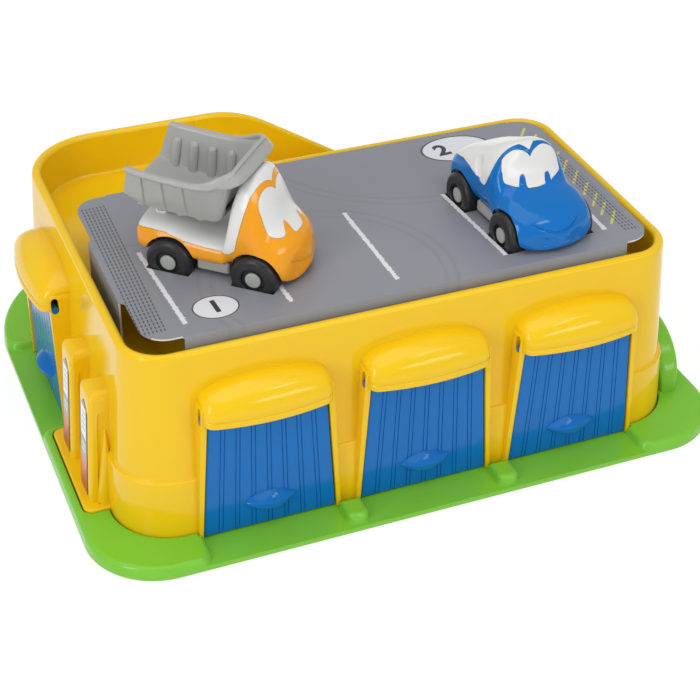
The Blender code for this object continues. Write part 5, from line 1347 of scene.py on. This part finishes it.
def vehicle_bodies(name, stations, opening, brow, arch, glass, frame_start, shell_material, place,
                   extras, white_extras):
    """Shell, white inner moulding and chassis of one vehicle."""
    foot_path, taper, low, high, behind = glass
    path = foot_path + lobes(*arch)
    floor_room = CHASSIS_HIGH + SEAT_GAP
    belly = block((-38, -SILL_HALF - SIDE_GAP, -REACH), (36, SILL_HALF + SIDE_GAP, floor_room))
    under = block((-REACH, -REACH, -REACH), (REACH, REACH, floor_room))
    shell = shaped(form(stations), ("DIFFERENCE", form(stations, SHELL_WALL)),
                   ("DIFFERENCE", white_room(opening, brow, arch, glass, frame_start, 0)),
                   ("DIFFERENCE", pane_space(path, taper, low, high, behind)),
                   ("DIFFERENCE", belly), *arches(), *extras)
    piece(name + "_paint_shell", shell, shell_material, name, [name + "_shell"], place)

    inner = form(stations, SHELL_WALL + 2 * SHELL_GAP)
    upper = shaped(form(stations, 0.02),
                   ("INTERSECT", white_room(opening, brow, arch, glass, frame_start, SHELL_GAP)))
    pane = shaped(form(stations, 0.02),
                  ("INTERSECT", pane_space(path, taper, low, high, behind, -SHELL_GAP)))
    insert = shaped(inner, ("UNION", upper), ("UNION", pane), ("DIFFERENCE", under), *arches(),
                    ("DIFFERENCE", form(stations, SHELL_WALL + 2 * SHELL_GAP + INSERT_WALL)), *white_extras)
    piece(name + "_white_inner", insert, WHITE, name, [name + "_insert"], place)

    sill_end = WHEELBASE / 2 - ARCH_RADIUS - SIDE_GAP
    bores = [("DIFFERENCE", rod((along, -REACH, HUB_HEIGHT), (along, REACH, HUB_HEIGHT),
                                AXLE_RADIUS + 0.25)) for along in (-WHEELBASE / 2, WHEELBASE / 2)]
    sill = block((-sill_end, -SILL_HALF, CHASSIS_LOW + 1.2),
                 (sill_end, SILL_HALF, CHASSIS_HIGH - 0.6), 0.6)
    pan = block((-36, -CHASSIS_HALF, CHASSIS_LOW), (34, CHASSIS_HALF, CHASSIS_HIGH), 0.8)
    chassis = shaped(pan, ("UNION", sill), *bores)
    piece(name + "_floor_pan", chassis, GREY, name, [name + "_chassis"], place)


def smile(stations, low_point, half, rise):
    """Groove in the nose: a bent rod that follows the front."""
    nose = form(stations)
    skin = BVHTree.FromPolygons([corner.co for corner in nose.vertices],
                                [face.vertices for face in nose.polygons])
    rings = []
    for step in range(-16, 17):
        share = step / 16
        side = low_point[0] + half * share
        z = low_point[1] + rise * share ** 2
        front = skin.ray_cast(Vector((2 * REACH, side, z)), Vector((-1, 0, 0)))[0].x
        thick = SMILE_RADIUS * (1.1 - share ** 4)
        rings.append([(front + thick * cos(t), side, z + thick * sin(t)) for t in full_turn(12)])
    return loft(rings)


# Windscreens, drawn as (side, height) seen from behind: a foot with two notches under two arches
truck_foot = rounded_path(
    [(-18.4, 36), (-18.4, 27.6), (-11.6, 26.6), (-7.6, 30.8), (-5.2, 32.6), (-4.4, 30.0),
     (-5.0, 25.8), (1.4, 25.6), (6.0, 26.0), (8.4, 29.2), (10.0, 30.6), (10.8, 28.8), (10.4, 26.6),
     (18.4, 28.0), (18.4, 36)],
    [0.1, 4, 2.5, 1, 1, 1, 2.5, 3, 2, 1, 1, 1, 2, 3, 0.1])
TRUCK_ARCH = (8.3, 10.1, 39.5, 11.0)
truck_glass = (truck_foot, 0.12, 28, 50.5, 18.5)
TRUCK_OPEN = [(-60, 21.5), (-44, 21), (-34, 21.5), (-26, 21), (-16, 18), (-4, 16.6), (10.5, 16.2),
              (13.4, 18.5), (17.2, 35), (20.4, 48), (22.5, 55), (24, 60), (24, 75), (-60, 75)]
white_fittings = [("UNION", block((-37.2, side * 9 - 2, 22.5), (-30.8, side * 9 + 2, 31.7), 0.6))
                  for side in (-1, 1)]
white_fittings.append(("DIFFERENCE", rod((-34, -REACH, 28.5), (-34, REACH, 28.5), 2.05)))
vehicle_bodies("truck", TRUCK_STATIONS, TRUCK_OPEN, (16.5, 12, 30, 44, 2.8), TRUCK_ARCH, truck_glass,
               20, ORANGE, TRUCK, [("DIFFERENCE", smile(TRUCK_STATIONS, (-1, 10.5), 16, 5))],
               white_fittings)

car_foot = rounded_path(
    [(-18.6, 33), (-18.4, 28.6), (-11.2, 26.6), (-10.2, 26.6), (-8.2, 31.6), (-6.0, 31.9),
     (-5.4, 30.0), (-6.0, 26.0), (0, 25.8), (5.8, 26.1), (7.6, 30.2), (9.8, 30.6), (10.4, 29.0),
     (9.8, 26.4), (18.4, 29.2), (18.6, 33)],
    [0.1, 4, 1, 0.8, 2, 1.5, 1, 0.8, 2, 0.8, 2, 1.5, 1, 0.8, 4, 0.1])
CAR_ARCH = (9.0, 9.9, 34.5, 9.6)
car_glass = (car_foot, 0.12, 25, 43, 5)
CAR_OPEN = [(-60, 21.5), (-41.5, 21.5), (-35, 24), (-27, 26), (-18, 25.8), (-8, 24), (-2, 22.8), (0.4, 23),
            (1.6, 25), (2.6, 29), (3, 34), (3, 60), (-60, 60)]
scoops = []
for side in (-1, 1):
    work = bmesh.new()
    bmesh.ops.create_uvsphere(work, u_segments=40, v_segments=24, radius=1)
    bmesh.ops.scale(work, vec=(4.2, 2.4, 11.0), verts=work.verts)
    leaned = Matrix.Rotation(side * radians(17), 3, "X") @ Matrix.Rotation(radians(-38), 3, "Y")
    bmesh.ops.rotate(work, cent=(0, 0, 0), matrix=leaned, verts=work.verts)
    bmesh.ops.translate(work, vec=(-11.5, side * 20.8, 32), verts=work.verts)
    scoops.append(("DIFFERENCE", drawn(work)))
vehicle_bodies("car", CAR_STATIONS, CAR_OPEN, (16, 2, 12, 34, 1.9), CAR_ARCH, car_glass,
               3, CAR_BLUE, CAR, [("DIFFERENCE", smile(CAR_STATIONS, (-1, 12.5), 15, 5))], scoops)

# Wheels and axles
# Black wheels with a rounded tread and a sunken ring, pressed on grey axles whose domed ends show
# in the middle of each wheel.
TYRE = plastic("black_wheel", (0.022, 0.022, 0.024), 0.34, tint=0.2, edge=0.3)
HEAD = plastic("axle_end", (0.40, 0.41, 0.385), 0.36, edge=0.2)
WHEEL_DISH = 2.2
AXLE_HEAD = 4.4


def turned(profile, count):
    """Rings of a profile (radius, place on the side axis) turned about that axis."""
    return [[(radius * cos(t), out, radius * sin(t)) for t in full_turn(count)] for radius, out in profile]


def wheel(side):
    dish = WHEEL_OUTER - WHEEL_DISH
    ring = AXLE_HEAD + 2
    profile = [(AXLE_RADIUS + 0.1, dish), (ring - 0.5, dish), (ring - 0.1, dish + 0.15), (ring, dish + 0.5),
               (ring + 0.2, WHEEL_OUTER - 0.5), (ring + 0.6, WHEEL_OUTER - 0.1), (ring + 1.1, WHEEL_OUTER)]
    for t in quarter(8):
        profile.append((WHEEL_RADIUS - 3.2 + 3.2 * sin(t), WHEEL_OUTER - 3.0 + 3.0 * cos(t)))
    profile += [(WHEEL_RADIUS, WHEEL_INNER + 1.6), (WHEEL_RADIUS - 0.4, WHEEL_INNER + 0.5),
                (WHEEL_RADIUS - 1.5, WHEEL_INNER), (AXLE_RADIUS + 0.1, WHEEL_INNER)]
    return loft(turned([(radius, side * out) for radius, out in profile], 72), caps=False)


def axle():
    head = WHEEL_OUTER - WHEEL_DISH + 0.1
    dome = [(AXLE_RADIUS, head), (AXLE_HEAD - 0.15, head), (AXLE_HEAD, head + 0.25),
            (AXLE_HEAD, head + 0.95), (AXLE_HEAD - 0.12, head + 1.25), (AXLE_HEAD - 0.5, head + 1.45),
            (AXLE_HEAD - 1.2, head + 1.55), (0.05, head + 1.6)]
    return loft(turned([(radius, -out) for radius, out in dome[::-1]] + dome, 48))


axle_mesh = axle()
for name, place in (("truck", TRUCK), ("car", CAR)):
    for end, along in (("rear", -WHEELBASE / 2), ("front", WHEELBASE / 2)):
        hub = place @ Matrix.Translation((along, 0, HUB_HEIGHT))
        body = f"{name}_{end}_wheels"
        piece(f"{name}_{end}_axle", axle_mesh, HEAD, body, [f"{name}_axle_{end}"], hub)
        for label, side in (("left", 1), ("right", -1)):
            piece(f"{name}_{end}_{label}_tyre", wheel(side), TYRE, body, [f"{name}_wheel_{end}_{label}"], hub)

# Tipper bed
# One grey moulding that pivots on the truck's lugs: ribbed side walls with a rounded rail, a scoop
# floor and a headboard that leans over the cab.
BED_WALL = 2.0
RIB_SHARE = 0.76
BED_STATIONS = [
    (-49.5, 38, -44, 59, 22.5, 26.5), (-38, 33.5, -37, 58.2, 22, 27), (-24, 32, -24, 57.2, 21.5, 27.3),
    (-8, 31, -8, 56.6, 21, 27.3), (0, 30.5, 2.5, 57.6, 20.5, 26.8), (3.5, 31.5, 9, 60.2, 19.5, 25),
    (5, 34, 13, 62.6, 18.5, 22),
]
STEPS_ALONG = (-37.0, -25.0, -13.0, -2.0)
BED_TAIL = -49.5


def bed_rows():
    """Fine stations, keyed by the place along the floor."""
    spots = [BED_TAIL + 54.5 * step / 72 for step in range(73)]
    for spot in STEPS_ALONG:
        spots += [spot - 0.2, spot + 0.2]
    return eased(BED_STATIONS, sorted(set(round(s, 3) for s in spots)))


def bed_shell():
    """Floor and side walls, with shallow steps along the outside."""
    rings = []
    for floor_a, floor_z, rail_a, rail_z, floor_half, rail_half in bed_rows():
        passed = [spot for spot in STEPS_ALONG if floor_a > spot]
        last_step = max(passed, default=BED_TAIL)
        panel = 0.9 * min((floor_a - last_step) / 11.0, 1.0) if len(passed) < len(STEPS_ALONG) else 0.9
        out = 0.2 + panel

        def at(share, half, z_add=0.0):
            return (floor_a + (rail_a - floor_a) * share, half,
                    floor_z + (rail_z - floor_z) * share + z_add)

        side_in = floor_half - BED_WALL
        right_side = [at(0, floor_half - 4), at(0.02, floor_half - 2), at(0.07, floor_half - 0.5),
                      at(0.13, floor_half + out * 0.6)]
        for share in (0.3, 0.5, 0.7, 0.86):
            right_side.append(at(share, floor_half + (rail_half - 1 - floor_half) * share + out))
        right_side += [at(0.885, rail_half + 1.6), at(0.905, rail_half + 2.1), at(0.94, rail_half + 2.4),
                       at(0.975, rail_half + 2.1), at(0.995, rail_half + 1.3), at(1, rail_half + 0.4),
                       at(0.995, rail_half - 1.2), at(0.97, rail_half - 1.9), at(0.93, rail_half - 2.2)]
        for share in (0.7, 0.5, 0.3):
            right_side.append(at(share, side_in + (rail_half - 2.2 - side_in) * share))
        right_side += [at(0.14, side_in + 0.2, 0.4), at(0.09, side_in - 0.8, 1.1),
                       at(0.06, side_in - 2.0, 1.6), at(0.04, side_in - 4.0, 1.9)]
        left_side = [(a, -s, z) for a, s, z in right_side[::-1]]
        rings.append(right_side + left_side)
    return loft(rings)


def bed_rib(place, side):
    """Finger-like rib on the inside of a side wall, with a rounded top."""
    floor_a, floor_z, rail_a, rail_z, floor_half, rail_half = eased(BED_STATIONS, [place])[0]
    low = Vector((floor_a, side * (floor_half - 2.4), floor_z + 1.0))
    high = Vector((floor_a + (rail_a - floor_a) * RIB_SHARE,
                   side * (floor_half + (rail_half - 1 - floor_half) * RIB_SHARE - 1.7),
                   floor_z + (rail_z - floor_z) * RIB_SHARE))
    axis = (high - low).normalized()
    across = Vector((1, 0, 0))
    across = (across - axis * across.dot(axis)).normalized()
    out = axis.cross(across).normalized()
    rings = []
    for share, width in [(s / 8 * 0.86, 2.6) for s in range(9)] + [
            (0.86 + 0.14 * sin(pi / 2 * k / 6), 2.6 * cos(pi / 2 * k / 6.4)) for k in range(1, 7)]:
        centre = low + (high - low) * share
        rings.append([tuple(centre + across * width * cos(t) + out * width * 0.72 * sin(t))
                      for t in full_turn(24)])
    return loft(rings)


def headboard():
    """Flat board over the cab with rounded corners, leaning forward as it rises."""
    board = rounded_path([(-19.5, 32), (19.5, 32), (24.5, 57), (22.5, 63), (14, 65), (-14, 65), (-22.5, 63),
                          (-24.5, 57)], [2, 2, 4, 4, 4, 4, 4, 4])
    leaning = Matrix(((0, 0.36, 1, -10), (1, 0, 0, 0), (0, 1, 0, 0), (0, 0, 0, 1)))
    return plate(board, 2.4, leaning)


def wing(side):
    """Broad slanted border where the rail sweeps up to the headboard."""
    line = [(-8, 27.5, 56.4, 0.5), (-2, 27.4, 56.8, 1.1), (3, 27.1, 57.7, 2.1), (8, 26.0, 59.2, 3.3),
            (12.5, 23.8, 60.4, 4.0), (15, 19.5, 61.0, 4.2), (15.6, 10, 61.2, 4.2), (15.6, -0.01, 61.2, 4.2)]
    rows = []
    for i in range(len(line) - 1):
        for step in range(5 if i < len(line) - 2 else 6):
            t = step / 5
            rows.append([line[i][c] + (line[i + 1][c] - line[i][c]) * t for c in range(4)])
    for smoothing in range(4):
        rows = [rows[0]] + [[(a + 2 * b + c) / 4 for a, b, c in zip(rows[k - 1], rows[k], rows[k + 1])]
                            for k in range(1, len(rows) - 1)] + [rows[-1]]
    rings = []
    for k, (a, s, z, width) in enumerate(rows):
        before = rows[max(k - 1, 0)]
        after = rows[min(k + 1, len(rows) - 1)]
        along = Vector((after[0] - before[0], after[1] - before[1], after[2] - before[2])).normalized()
        flat = Vector((0.74, 0.1, -0.66))
        flat = (flat - along * flat.dot(along)).normalized()
        thick = along.cross(flat).normalized()
        ring = []
        for t in full_turn(20):
            spot = (Vector((a, s, z)) + flat * width * abs(cos(t)) ** 0.6 * (1 if cos(t) > 0 else -1)
                    + thick * 1.25 * abs(sin(t)) ** 0.8 * (1 if sin(t) > 0 else -1))
            ring.append((spot.x, side * spot.y, spot.z))
        rings.append(ring)
    return loft(rings)


PIVOT = (-34.0, 28.5)
TONGUE_RADIUS = 2.7
TONGUE_HALF = 6.7
PIN_RADIUS = 1.8
PIN_HALF = 11
pivot_x, pivot_z = PIVOT
tongue = block((pivot_x - TONGUE_RADIUS, -TONGUE_HALF, pivot_z),
               (pivot_x + TONGUE_RADIUS, TONGUE_HALF, 34.5))
bed_steps = [("UNION", headboard())]
for side in (-1, 1):
    bed_steps += [("UNION", bed_rib(spot, side)) for spot in (-40, -29, -18, -7)]
    bed_steps.append(("UNION", wing(side)))
bed_steps.append(("UNION", tongue))
for half, radius in ((TONGUE_HALF + 0.05, TONGUE_RADIUS), (PIN_HALF, PIN_RADIUS)):
    bed_steps.append(("UNION", rod((pivot_x, -half, pivot_z), (pivot_x, half, pivot_z), radius)))
piece("tipper_moulding", shaped(bed_shell(), *bed_steps), GREY, "truck_bed", ["truck_tipper_bed"], TRUCK)
